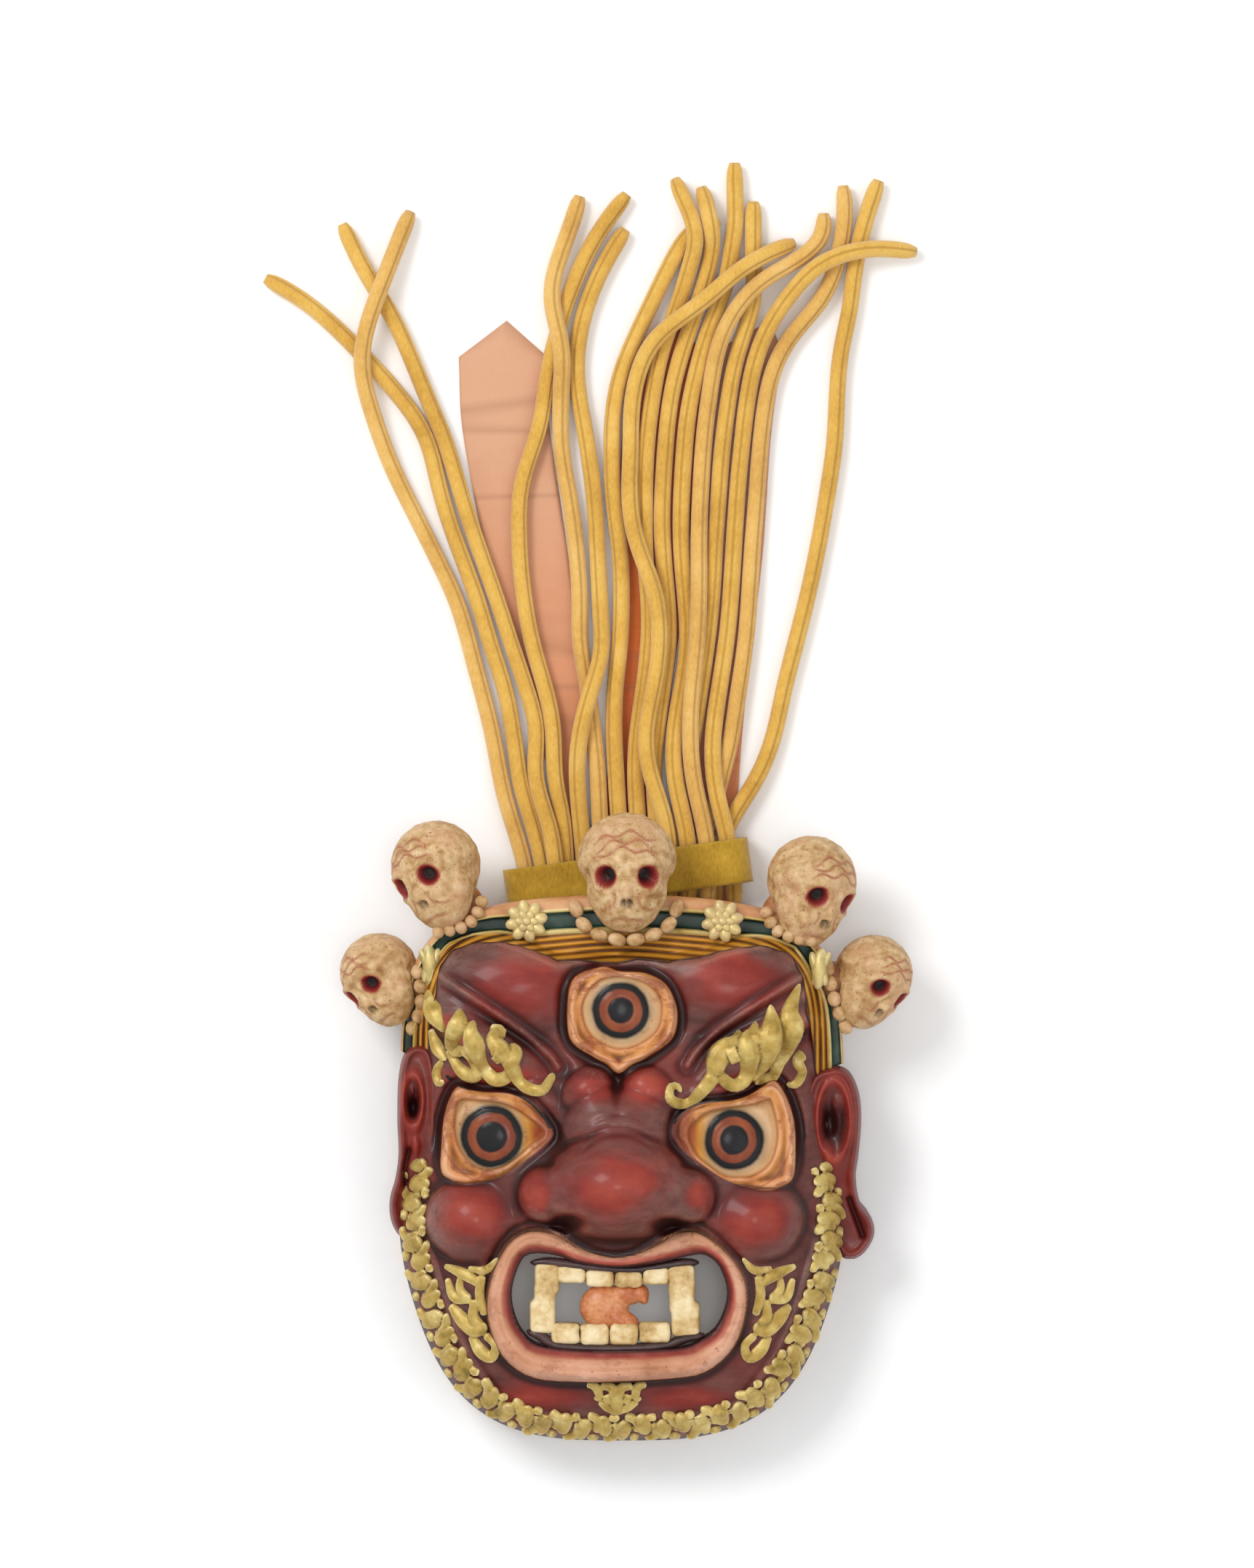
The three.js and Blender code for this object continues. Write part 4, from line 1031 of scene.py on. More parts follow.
def boneFinish():
    bone = Finish("paintedBone", Coat_Weight=0.1, Coat_Roughness=0.3)
    cloud, blot, grain = bone.noise(48, 5), bone.noise(190, 4), bone.noise(620, 2)
    colour = bone.ramp(cloud * 0.5 + blot * 0.5, [
        (0.3, tone("8e6238")), (0.43, tone("b08a5a")), (0.55, tone("cbab7e")), (0.7, tone("e2cda6"))])
    speck = grain.edge(0.66, 0.05)
    colour = bone.mix(speck * 0.65, colour, tone("6b4a2a"))
    stain = bone.measure("stain")
    colour = bone.mix(stain * (0.45 + blot * 0.7), colour, tone("8c3a22"))
    colour = bone.mix((cloud - 0.5).edge(0.06, 0.1) * 0.35, colour, tone("a5623c"))
    colour = bone.mix(bone.measure("rim"), colour, tone("8c2320"))
    colour = bone.mix(bone.measure("pit"), colour, tone("241716"))
    return bone.feed(Base_Color=colour, Roughness=0.5 + cloud * 0.15,
                     Normal=bone.bump(blot * 0.7 + grain * 0.5, 0.0006, 0.35))


def toothFinish():
    tooth = Finish("toothPaint", Coat_Weight=0.2, Coat_Roughness=0.3)
    cloud, grain = tooth.noise(90, 4), tooth.noise(500, 3)
    colour = tooth.ramp(cloud * 0.85 + grain * 0.15, [
        (0.28, tone("94703c")), (0.42, tone("c4a46c")), (0.54, tone("dbc596")), (0.72, tone("ebdcb8"))])
    # darker in the hollows and joins: painted shade
    colour = tooth.mix(reachIn(tooth, 0.8, 0.48, 0.42), colour, tone("6e4520"))
    return tooth.feed(Base_Color=colour, Roughness=0.45 + grain * 0.15,
                      Normal=tooth.bump(cloud + grain, 0.0005, 0.35))


def plainFinish(name, deep, mid, light, rough=0.45, coat=0.3):
    paint = Finish(name, Coat_Weight=coat, Coat_Roughness=0.3)
    cloud, grain = paint.noise(48, 4), paint.noise(380, 3)
    colour = paint.ramp(cloud * 0.7 + grain * 0.3, [(0.32, tone(deep)), (0.5, tone(mid)), (0.7, tone(light))])
    return paint.feed(Base_Color=colour, Roughness=rough + cloud * 0.15,
                      Normal=paint.bump(cloud + grain, 0.0006, 0.3))


def crownFinish():
    paint = Finish("crownPaint", Coat_Weight=0.12, Coat_Roughness=0.25)
    band = paint.measure("band")
    cloud, grain = paint.noise(40, 4), paint.noise(400, 3)
    strand = paint.measure("strand")
    peach = paint.ramp(cloud, [(0.3, tone("9c6238")), (0.5, tone("c08a5c")), (0.7, tone("d6a67a"))])
    green = paint.ramp(cloud, [(0.3, tone("15231d")), (0.5, tone("23382e")), (0.72, tone("3f5a4c"))])
    line = paint.mix(cloud.edge(0.5, 0.3), tone("a98c44"), tone("dcc98c"))
    hair = paint.ramp(strand * 0.6 + cloud * 0.4, [(0.2, tone("3a1e08")), (0.4, tone("8a5516")),
                                                   (0.6, tone("b97c20")), (0.85, tone("cf9a3a"))])
    colour = paint.mix(band.edge(1, 0.12), peach, line)
    colour = paint.mix(band.edge(2, 0.14), colour, green)
    colour = paint.mix(band.edge(3, 0.1), colour, line)
    colour = paint.mix(band.edge(4, 0.12), colour, hair)
    # a dark strip along the hair's lower edge, where it overhangs the forehead: painted shadow
    colour = paint.mix(band.edge(4.9, 0.1), colour, tone("33150c"))
    return paint.feed(Base_Color=colour, Roughness=0.4 + cloud * 0.15,
                      Normal=paint.bump(cloud + grain, 0.0006, 0.35))


antiqueGold, paintedBone, toothPaint, crownPaint = goldFinish(), boneFinish(), toothFinish(), crownFinish()
gumPaint = plainFinish("gumPaint", "231614", "3c2826", "5a403c", 0.35, 0.4)
tonguePaint = plainFinish("tonguePaint", "742c16", "b5673c", "d89c6c", 0.4, 0.35)
flowerGold = goldFinish("flowerGold", "dcc490", "a98552", "4e3016")
leafGold = goldFinish("leafGold", "b9ad62", "8c8236", "3c3a14")


def addBlob(bm, at, half, turn=0.0, normal=(0, 0, 1), fine=2):
    # a small rounded lump seated on a surface
    lean = Vector((0, 0, 1)).rotation_difference(Vector(normal)).to_matrix().to_4x4()
    spot = Matrix.Translation(Vector(toFrame(at)))
    size = Matrix.Diagonal((half[0] * mm, half[1] * mm, half[2] * mm, 1))
    matrix = spot @ lean @ Matrix.Rotation(turn, 4, "Z") @ size
    bmesh.ops.create_icosphere(bm, subdivisions=fine, radius=1, matrix=matrix)


def addStroke(bm, points, lift=0.5, flat=0.34, level=None, count=26, grow=1.3):
    # a tapered carved stroke laid on the face; each point is x, y and half width
    line = smoothLine(np.array(points, float), count)
    z = lookUp("height", line[:, 0], line[:, 1]) + lift if level is None else np.full(count, level)
    z[1:-1] = (z[:-2] + z[1:-1] + z[2:]) / 3
    path = toFrame(np.column_stack([line[:, 0], line[:, 1], z]))
    radius = np.clip(line[:, 2] * grow, 0.5, None) * mm
    radius[0] *= 0.45
    radius[-1] *= 0.45
    angles = np.arange(10) * math.pi / 5
    piece = runTube(path, radius, angles, np.ones(10), flatten=flat)
    spare = bpy.data.meshes.new("stroke")
    piece.to_mesh(spare)
    piece.free()
    bm.from_mesh(spare)
    bpy.data.meshes.remove(spare)


# gold flames on the brows and cheeks
print("gold ornament")
leftBrow = [
    [(-38.5, 36.5, 1.5), (-40.8, 32.3, 1.9), (-45, 27, 2.3), (-52, 27.7, 2.5), (-57.4, 31.4, 2.5),
    (-61, 38, 3), (-63.9, 46, 3.8)],
    [(-62, 41, 2.5), (-61, 48, 3.5), (-63, 53, 1.6)], [(-66, 44, 3.5), (-70, 50, 4.5), (-74, 50.5, 2.6)],
    [(-69, 49, 3.5), (-72, 56, 3.2), (-69, 60, 2.8), (-74.5, 62, 1.8)],
    [(-61, 38, 2.2), (-66.5, 33.5, 2.8), (-72.5, 33, 2.8), (-76.8, 38, 2.6), (-79, 44, 2.4)],
    [(-72, 33, 2.4), (-77.8, 41.6, 3), (-82.4, 51, 4.4), (-85, 59, 3.2), (-83.6, 66.5, 1)],
    [(-80, 36, 2.5), (-84, 46, 3), (-89, 50, 3), (-94.5, 50, 3.4), (-95, 57, 3.6), (-92, 65, 3.8),
    (-91.6, 73, 1)],
    [(-78, 38, 2.2), (-84, 34.8, 3), (-90, 37, 2.8), (-95, 43.5, 2), (-97, 50, 2.4)],
    [(-94, 64, 1.5), (-97.5, 61, 2)], [(-109.5, 83, 1.6), (-105.5, 71, 4.6), (-99.9, 59.5, 1.2)],
    [(-108, 61, 1.6), (-104, 50, 3), (-99.5, 43, 1)],
    [(-101.8, 43, 1.2), (-104.8, 37, 2), (-103.6, 30.5, 1.9), (-100.6, 31.6, 1)]]
rightBrow = [
    [(33.6, 25.6, 1), (31.4, 29.2, 1.5), (27.6, 28.6, 1.8), (26.8, 23, 2.1), (32, 19.4, 2.3),
    (39.5, 21.4, 2.4), (46.9, 28.6, 2.8), (52.6, 36, 3.2)],
    [(52, 35, 3), (54.3, 45, 4.6), (59, 50, 4.6), (64.5, 55, 3), (66.5, 61, 0.9)],
    [(60, 46, 3.6), (65.5, 48, 3.4)],
    [(54, 36, 2.4), (61.7, 29.8, 2.7), (68, 31.4, 3), (71, 38.8, 3.6), (71.8, 47, 4.4), (71, 55, 3.6),
    (74.6, 60, 2.6), (75.5, 66, 0.9)],
    [(72, 54, 2), (77.4, 57, 2.6), (76, 61, 1.2)],
    [(71, 33, 2.6), (78, 42, 4.2), (82.6, 52, 5.2), (84.6, 63, 4), (83.9, 75.5, 0.9)],
    [(75, 33, 2.4), (83.9, 33.6, 2.6), (88.5, 42, 2.8)],
    [(86, 38, 2.5), (92, 51, 4.2), (95.9, 62, 4.8), (95, 72, 3.4), (100.5, 87, 0.9)],
    [(103, 47, 2.6), (99, 43, 2.4), (102, 36.5, 2.1), (98.6, 30, 1.9), (93, 29.6, 1)]]
cheekScrolls = [
    [(-100.5, -73, 1.2), (-89.3, -77.4, 2.4), (-81, -82.5, 1.8)],
    [(-70, -68, 0.8), (-77, -75, 1.8), (-87, -74, 1)],
    [(-99, -80, 1.2), (-94.5, -90.5, 2.4), (-85.2, -91.4, 2)],
    [(-79, -78, 1.6), (-80.4, -89, 2), (-77.4, -101, 1.6)],
    [(-97, -95, 1.6), (-90.3, -103, 3.2), (-83, -109, 3.2), (-76.4, -106.5, 1.8)],
    [(-85.5, -112, 1.6), (-80, -121, 2.8), (-73.8, -125, 2.2), (-71.6, -118, 1.8), (-77.6, -111.6, 1.8)],
    [(-91, -78, 1.2), (-91.5, -86, 1.8), (-86, -92, 1.6)],
    [(-83, -92, 1.6), (-84, -101, 2.2), (-80, -107, 2)]]
goateeScrolls = [
    [(-20, -140, 1.6), (-15, -141.5, 2.4), (-13, -146.5, 2.2), (-15.6, -149, 1.2)],
    [(-12, -141, 1.8), (-6, -142, 2.6), (-3, -147, 3)],
    [(14, -140, 1.6), (9, -141.5, 2.4), (8, -147, 2.2), (11, -149, 1.2)],
    [(6, -141, 1.8), (0, -142, 2.6), (-3, -147, 3)], [(-13, -150, 1.6), (-8, -153, 2.8), (-3, -157, 1.4)],
    [(9, -150, 1.6), (3, -153, 2.8), (-3, -157, 1.4)], [(-3, -145, 2.6), (-3, -152, 3.4), (-3, -158, 1.4)],
    [(-9, -146, 2), (-7, -151, 2.4)], [(4, -146, 2), (2, -151, 2.4)]]


def fuse(piece, grain, turns=3):
    # joins overlapping strokes into one carved mass
    blend = piece.modifiers.new("blend", "REMESH")
    blend.mode, blend.voxel_size, blend.use_smooth_shade = "VOXEL", grain, True
    soften = piece.modifiers.new("soften", "SMOOTH")
    soften.factor, soften.iterations = 0.5, turns


def makeStrokes(name, strokes, flip=False, lift=0.9, grow=1.5):
    bm = bmesh.new()
    for stroke in strokes:
        points = [(-2 - x, y, w) for x, y, w in stroke] if flip else stroke
        addStroke(bm, points, lift, flat=0.5, grow=grow)
    fuse(keepCarving(name, bm, antiqueGold), 0.0006)


makeStrokes("brow_flames_left", leftBrow)
makeStrokes("brow_flames_right", rightBrow)
makeStrokes("cheek_scrolls_left", cheekScrolls)
makeStrokes("cheek_scrolls_right", cheekScrolls, flip=True)
makeStrokes("goatee_scrolls", goateeScrolls, lift=1.4, grow=1.15)

# beard of small flames round the jaw
beardSizes = {"from": -184.0, "to": 2.5, "pitch": 11.2, "band": 19.0, "strokes": [
    [(1.5, 3.0, 2.0), (4.6, 3.4, 2.5), (7.8, 5.6, 2.6), (8.8, 9.4, 2.4), (6.6, 12.0, 1.7)],
    [(-1.0, 16.6, 1.8), (0.6, 13.0, 3.3), (1.0, 9.0, 3.8), (-0.2, 5.4, 2.8)],
    [(3.6, 15.6, 1.8), (6.4, 15.0, 2.4), (8.8, 16.0, 1.5)]]}


def makeBeard():
    size = beardSizes
    turns = np.radians(np.linspace(size["from"], size["to"], 900))
    radius = outlineRadius(turns, 9)
    line = np.column_stack([radius * np.cos(turns), radius * np.sin(turns)])
    runs = np.concatenate([[0], np.cumsum(np.linalg.norm(np.diff(line, axis=0), axis=1))])
    bm = bmesh.new()
    for k in range(int(runs[-1] / size["pitch"])):
        for stroke in size["strokes"]:
            points = []
            for along, inset, half in stroke:
                inset = inset if k % 2 else size["band"] - inset
                run = (k + 0.3) * size["pitch"] + along + dice.uniform(-0.6, 0.6)
                angle = np.interp(run, runs, turns)
                reach = float(outlineRadius(angle, inset - 0.9 + dice.uniform(-0.5, 0.5)))
                points.append((reach * math.cos(angle), faceSizes["centreY"] + reach * math.sin(angle),
                               half * dice.uniform(1.05, 1.3)))
            addStroke(bm, points, 1.3 + dice.uniform(-0.3, 0.6), flat=0.55, count=14, grow=1.0)
    fuse(keepCarving("beard_flames", bm, antiqueGold), 0.00066, 1)


makeBeard()

# crown band
print("crown")
crownSizes = {"from": 26, "to": 151.5, "out": 17, "low": 37,
              "top": [0, 7, 8.5, 18.5, 21], "side": [0, 0.8, 1.6, 7.5, 9.6]}


def makeCrown():
    size = crownSizes
    edge = np.array(hairEdge, float)
    edgeAngle = np.arctan2(edge[:, 1] - faceSizes["centreY"], edge[:, 0])
    edgeRadius = np.hypot(edge[:, 0], edge[:, 1] - faceSizes["centreY"])
    cells = (200, 46)

    def limits(angle):
        outer = outlineRadius(angle) + size["out"] * (0.45 + 0.55 * np.sin(angle) ** 4)
        return outer, np.minimum(np.interp(angle, edgeAngle, edgeRadius), outlineRadius(angle) - 3)

    def zones(u, v):
        angle = np.radians(size["from"] + (size["to"] - size["from"]) * u)
        outer, inner = limits(angle)
        depth = (outer - inner) * v
        top = stepUp(np.sin(angle), 0.62, 0.86)
        marks = [s + (t - s) * top for s, t in zip(size["side"], size["top"])]
        fit = np.minimum(1, 0.74 * (outer - inner) / marks[4])
        marks = [mark * fit for mark in marks] + [outer - inner]
        band = np.zeros_like(depth)
        for k in range(5):
            band += np.clip((depth - marks[k]) / (marks[k + 1] - marks[k] + 1e-6), 0, 1)
        return angle, outer - depth, depth, band, top

    def shape(u, v):
        angle, radius, depth, band, top = zones(u, v)
        x, y = radius * np.cos(angle), faceSizes["centreY"] + radius * np.sin(angle)
        meet = lookUp("height", x, y)
        base = 56 + 10 * top
        z = base - 5 * (1 - np.clip(depth / 3, 0, 1)) ** 2
        z = z + 1.4 * bell(band - 1.5, 0.4) + 1.6 * bell(band - 3.5, 0.5)
        z = z - 4.5 * stepUp(band, 1.9, 2.15) * (1 - stepUp(band, 2.85, 3.1))
        rise = stepUp(band, 4, 5)
        strands = np.sin(depth * 1.7 + 1.6 * np.sin(angle * 9)) * stepUp(band, 4, 4.2)
        z = z + (np.maximum(meet + 1.6, z) - z) * rise
        z = np.where(band > 3, np.maximum(z, meet + 0.9), z)
        z = z + 0.8 * strands - 3.5 * stepUp(v, 0.985, 1.0)
        return toFrame(np.column_stack([x, y, z]))

    bm = gridShape(*cells, shape)
    faceUp(bm)
    edges = [e for e in bm.edges if e.is_boundary]
    made = bmesh.ops.extrude_edge_only(bm, edges=edges)["geom"]
    for vert in [g for g in made if isinstance(g, bmesh.types.BMVert)]:
        vert.co.z = size["low"] * mm
    bmesh.ops.edgeloop_fill(bm, edges=[g for g in made if isinstance(g, bmesh.types.BMEdge)])
    crown = keepCarving("crown_band", bm, crownPaint)
    x, y = facePlaces(crown.data)
    angle = np.arctan2(y - faceSizes["centreY"], x)
    u = (np.degrees(angle) - size["from"]) / (size["to"] - size["from"])
    outer, inner = limits(angle)
    depth = outer - np.hypot(x, y - faceSizes["centreY"])
    band = zones(u, depth / (outer - inner))[3]
    addMeasure(crown.data, "band", band)
    addMeasure(crown.data, "strand", 0.5 + 0.5 * np.sin(depth * 1.7 + 1.6 * np.sin(angle * 9)))


makeCrown()


def makeFlower(name, x, y):
    bm = bmesh.new()
    addBlob(bm, (x, y, 68.5), (10, 10, 3))
    for k in range(8):
        turn = k * math.pi / 4 + 0.2
        addBlob(bm, (x + 7.8 * math.cos(turn), y + 7.8 * math.sin(turn), 70), (4.4, 3.3, 2.4), turn, fine=3)
    for k in range(6):
        turn = k * math.pi / 3
        addBlob(bm, (x + 4.0 * math.cos(turn), y + 4.0 * math.sin(turn), 71.8), (2.7, 2.3, 1.5), turn, fine=3)
    addBlob(bm, (x, y, 72.4), (2.7, 2.7, 2.2), fine=3)
    keepCarving(name, bm, flowerGold)


makeFlower("crown_flower_left", -54, 122)
makeFlower("crown_flower_right", 57, 122)


def makeLeaf(name, x, y, turn):
    bm = bmesh.new()
    addBlob(bm, (x, y, 62), (4.6, 12, 4.4), turn, fine=3)
    for side in (-1, 1):
        addBlob(bm, (x + side * 2.8, y + 3, 61.6), (2.8, 7, 3.4), turn - side * 0.35, fine=3)
        addBlob(bm, (x + side * 2.4, y - 4.5, 61.6), (2.6, 5.5, 3.2), turn + side * 0.3, fine=3)
    keepCarving(name, bm, leafGold)


makeLeaf("crown_leaf_left", -108.5, 97, 0.1)
makeLeaf("crown_leaf_right", 112, 95, -0.1)

# five skulls with their strings of beads
print("skulls")
skullSizes = [
    {"name": "skull_middle", "at": (2.8, 155.5, 70), "size": 28, "lean": 0, "turn": 0, "tilt": 0,
     "beads": [(-26, 129, 70), (-21, 119.5, 73), (-10, 113.2, 75), (2.5, 111.4, 76), (15, 113.2, 75),
               (26, 119.5, 73), (31, 129, 70)], "count": 8},
    {"name": "skull_left", "at": (-105.5, 153, 58), "size": 25.8, "lean": 28, "turn": -40, "tilt": -14,
     "beads": [(-79.5, 133, 66), (-83.5, 124, 69), (-91, 118.5, 70), (-104, 116, 68)], "count": 6},
    {"name": "skull_far_left", "at": (-138, 92.5, 46), "size": 22.5, "lean": 40, "turn": -46, "tilt": -14,
     "beads": [(-116, 93, 57), (-114, 82, 58), (-114.5, 71, 58), (-119, 61, 54)], "count": 5},
    {"name": "skull_right", "at": (107.5, 144.5, 58), "size": 25.8, "lean": -14, "turn": 40, "tilt": 0,
     "beads": [(82, 127, 66), (86, 118.5, 69), (94, 113.5, 70), (107, 111.5, 68)], "count": 6},
    {"name": "skull_far_right", "at": (143, 91.5, 46), "size": 22.5, "lean": -34, "turn": 46, "tilt": -8,
     "beads": [(117, 95, 57), (119, 84, 58), (122, 73, 58), (127, 62, 54)], "count": 5}]
skullLumps = [
    ((0, 0, 0), (1, 1, 0.98)), ((0, -0.6, 0.16), (0.84, 0.7, 0.7)), ((0, -0.93, 0.16), (0.62, 0.5, 0.52)),
    ((-0.46, -0.52, 0.42), (0.28, 0.2, 0.3)), ((0.46, -0.52, 0.42), (0.28, 0.2, 0.3)),
    ((0, 0.12, 0.62), (0.52, 0.3, 0.36)), ((0, -0.6, 0.76), (0.13, 0.3, 0.22))]


def makeSkull(size):
    r = size["size"]
    bm = bmesh.new()
    bmesh.ops.create_uvsphere(bm, u_segments=104, v_segments=72, radius=1)
    aim = np.array([v.co[:] for v in bm.verts])
    aim /= np.linalg.norm(aim, axis=1)[:, None]
    reach = np.zeros(len(aim))
    for centre, half in skullLumps:
        c, h = np.array(centre), np.array(half)
        a = ((aim / h) ** 2).sum(1)
        b = (aim * c / h ** 2).sum(1)
        k = (c * c / h ** 2).sum() - 1
        inner = b * b - a * k
        skin = np.where(inner > 0, (b + np.sqrt(np.clip(inner, 0, None))) / a, 0)
        reach = blendHigh(reach, skin, 0.09)
    points = aim * reach[:, None]
    x, y, front = points[:, 0], points[:, 1], points[:, 2] > 0.1
    pit, rim = np.zeros(len(aim)), np.zeros(len(aim))
    for side in (-1, 1):
        gap = np.hypot((x - side * 0.43) / 1.0, (y + 0.29) / 1.08)
        pit = np.maximum(pit, (1 - stepUp(gap, 0.13, 0.2)) * front)
        rim = np.maximum(rim, (1 - stepUp(gap, 0.2, 0.25)) * front)
        reach = reach + front * 0.035 * bell(gap - 0.29, 0.06)
    nose = np.hypot((np.abs(x) - 0.06) / 0.6, (y + 0.86) / 0.9)
    nosePit = (1 - stepUp(nose, 0.05, 0.13)) * front
    mouthGap = np.abs(y + 1.17 + 0.25 * x * x)
    mouthLine = bell(mouthGap, 0.035) * (np.abs(x) < 0.36) * front
    stain = 0.8 * mouthLine
    for k, at in enumerate((0.28, 0.44, 0.6)):
        bow = at - 0.55 * x * x + 0.06 * np.sin(x * 11 + k * 2 + r)
        fold = bell(y - bow, 0.03) * stepUp(0.72 - np.abs(x), 0, 0.2) * front
        stain = np.maximum(stain, fold)
        reach = reach - 0.022 * fold
    for side in (-1, 1):
        cheek = np.abs(np.hypot(x - side * 0.5, y + 0.72) - 0.26)
        crease = bell(cheek, 0.03) * (np.abs(x) < 0.52) * (y < -0.6) * front
        stain = np.maximum(stain, 0.8 * crease)
        reach = reach - 0.02 * crease
        temple = np.exp(-(((np.abs(x) - 0.86) / 0.14) ** 2 + ((y + 0.34) / 0.22) ** 2))
        reach = reach - 0.06 * temple
    hollow = np.exp(-(((np.abs(x) - 0.66) / 0.16) ** 2 + ((y + 0.74) / 0.26) ** 2))
    brow = np.exp(-(((np.abs(x) - 0.4) / 0.3) ** 2 + ((y + 0.02) / 0.07) ** 2)) * front
    reach = reach - 0.24 * pit - 0.14 * nosePit - 0.04 * mouthLine - 0.07 * hollow + 0.035 * brow
    ripple = 0.008 * np.sin(aim[:, 0] * 17 + r) * np.sin(aim[:, 1] * 15)
    reach = reach + ripple + 0.006 * np.sin(aim[:, 2] * 31)
    writePoints(bm, aim * reach[:, None] * r * mm)
    lean, turn, tilt = [Matrix.Rotation(math.radians(size[key]), 4, axis)
                        for key, axis in (("lean", "Z"), ("turn", "Y"), ("tilt", "X"))]
    seat = Matrix.Translation(Vector(toFrame(size["at"]))) @ (lean @ turn @ tilt)
    bmesh.ops.transform(bm, matrix=seat, verts=bm.verts)
    skull = keepCarving(size["name"], bm, paintedBone)
    addMeasure(skull.data, "pit", np.maximum(pit, nosePit * 0.8))
    addMeasure(skull.data, "rim", rim)
    addMeasure(skull.data, "stain", stain)

    beads = bmesh.new()
    line = smoothLine(np.array(size["beads"], float), size["count"])
    ahead = np.gradient(line, axis=0)
    long = lengthOf(line) / (size["count"] - 1) * 0.52
    for point, way in zip(line, ahead):
        spin = math.atan2(way[1], way[0]) + dice.uniform(-0.15, 0.15)
        addBlob(beads, point, (long, 3.9, 3.6), spin, fine=3)
    string = keepCarving(size["name"].replace("skull", "beads"), beads, paintedBone)
    for name in ("pit", "rim", "stain"):
        addMeasure(string.data, name, np.zeros(len(string.data.vertices)))


for size in skullSizes:
    makeSkull(size)


def makeStubs():
    bm = bmesh.new()
    for at, half, turn in (((-94, 131, 50), (17, 15, 12), -0.7), ((-117, 86, 44), (13, 13, 11), 0),
                           ((95, 126, 50), (17, 15, 12), 0.7), ((120, 86, 44), (13, 13, 11), 0),
                           ((2, 132, 56), (24, 12, 10), 0)):
        addBlob(bm, at, half, turn, fine=4)
    keepCarving("skull_seats", bm, plainFinish("crownEdgePaint", "6e3f22", "a8714a", "c89468"))


makeStubs()

# ears
print("ears")
earSizes = {
    "right": {
        "outline": [(117, 39), (123.6, 39.5), (130, 35.5), (134.8, 24), (136, 9), (134.6, -10), (133, -24),
                    (135.5, -38), (142, -47), (143.6, -57), (138, -67), (130, -71), (123, -67), (116, -52),
                    (108, -32), (103, 0), (103, 20), (107.5, 34)],
        "ring": (120, 9, 9.5, 23), "hole": (118.2, 7, 3.2, 6.5),
        "knobs": [(121.8, 19, 2.8, 4.5), (117.5, -9, 3, 4.5)],
        "slit": [(129.5, -36), (133, -46), (137, -57)]},
    "left": {
        "outline": [(-110, 50.5), (-118, 51.5), (-124, 46), (-127, 32), (-127.6, 10), (-127, -10),
                    (-128.8, -24), (-132, -36), (-131.6, -48), (-127, -57), (-120, -59), (-114, -50),
                    (-108, -30), (-105, -5), (-104, 25), (-106, 42)],
        "ring": (-118.5, 20, 5.5, 15), "hole": (-118.5, 16, 2.2, 5),
        "knobs": [(-119, 26, 1.6, 3), (-117, -6, 2.6, 5)], "slit": [(-121, -8), (-123.5, -20), (-121, -34)]}}


def ovalSpot(x, y, cx, cy, wide, tall):  # 1 in the middle of a small oval
    return np.exp(-(((x - cx) / wide) ** 2 + ((y - cy) / tall) ** 2) ** 1.5)


def earShape(x, y, size):
    # how far inside the edge, how near the inner ring, how deep in the bowl, hole and slit, and on the knobs
    rim = inside(x, y, size["outline"])
    cx, cy, wide, tall = size["ring"]
    egg = np.hypot((x - cx) / wide, (y - cy) / tall)
    hole = ovalSpot(x, y, *size["hole"])
    knob = sum(ovalSpot(x, y, *place) for place in size["knobs"])
    slit = bell(lineGap(x, y, smoothLine(size["slit"], 16)), 1.7)
    return rim, bell((egg - 1) * wide, 1.6), 1 - stepUp(egg, 0.35, 0.95), hole, slit, knob


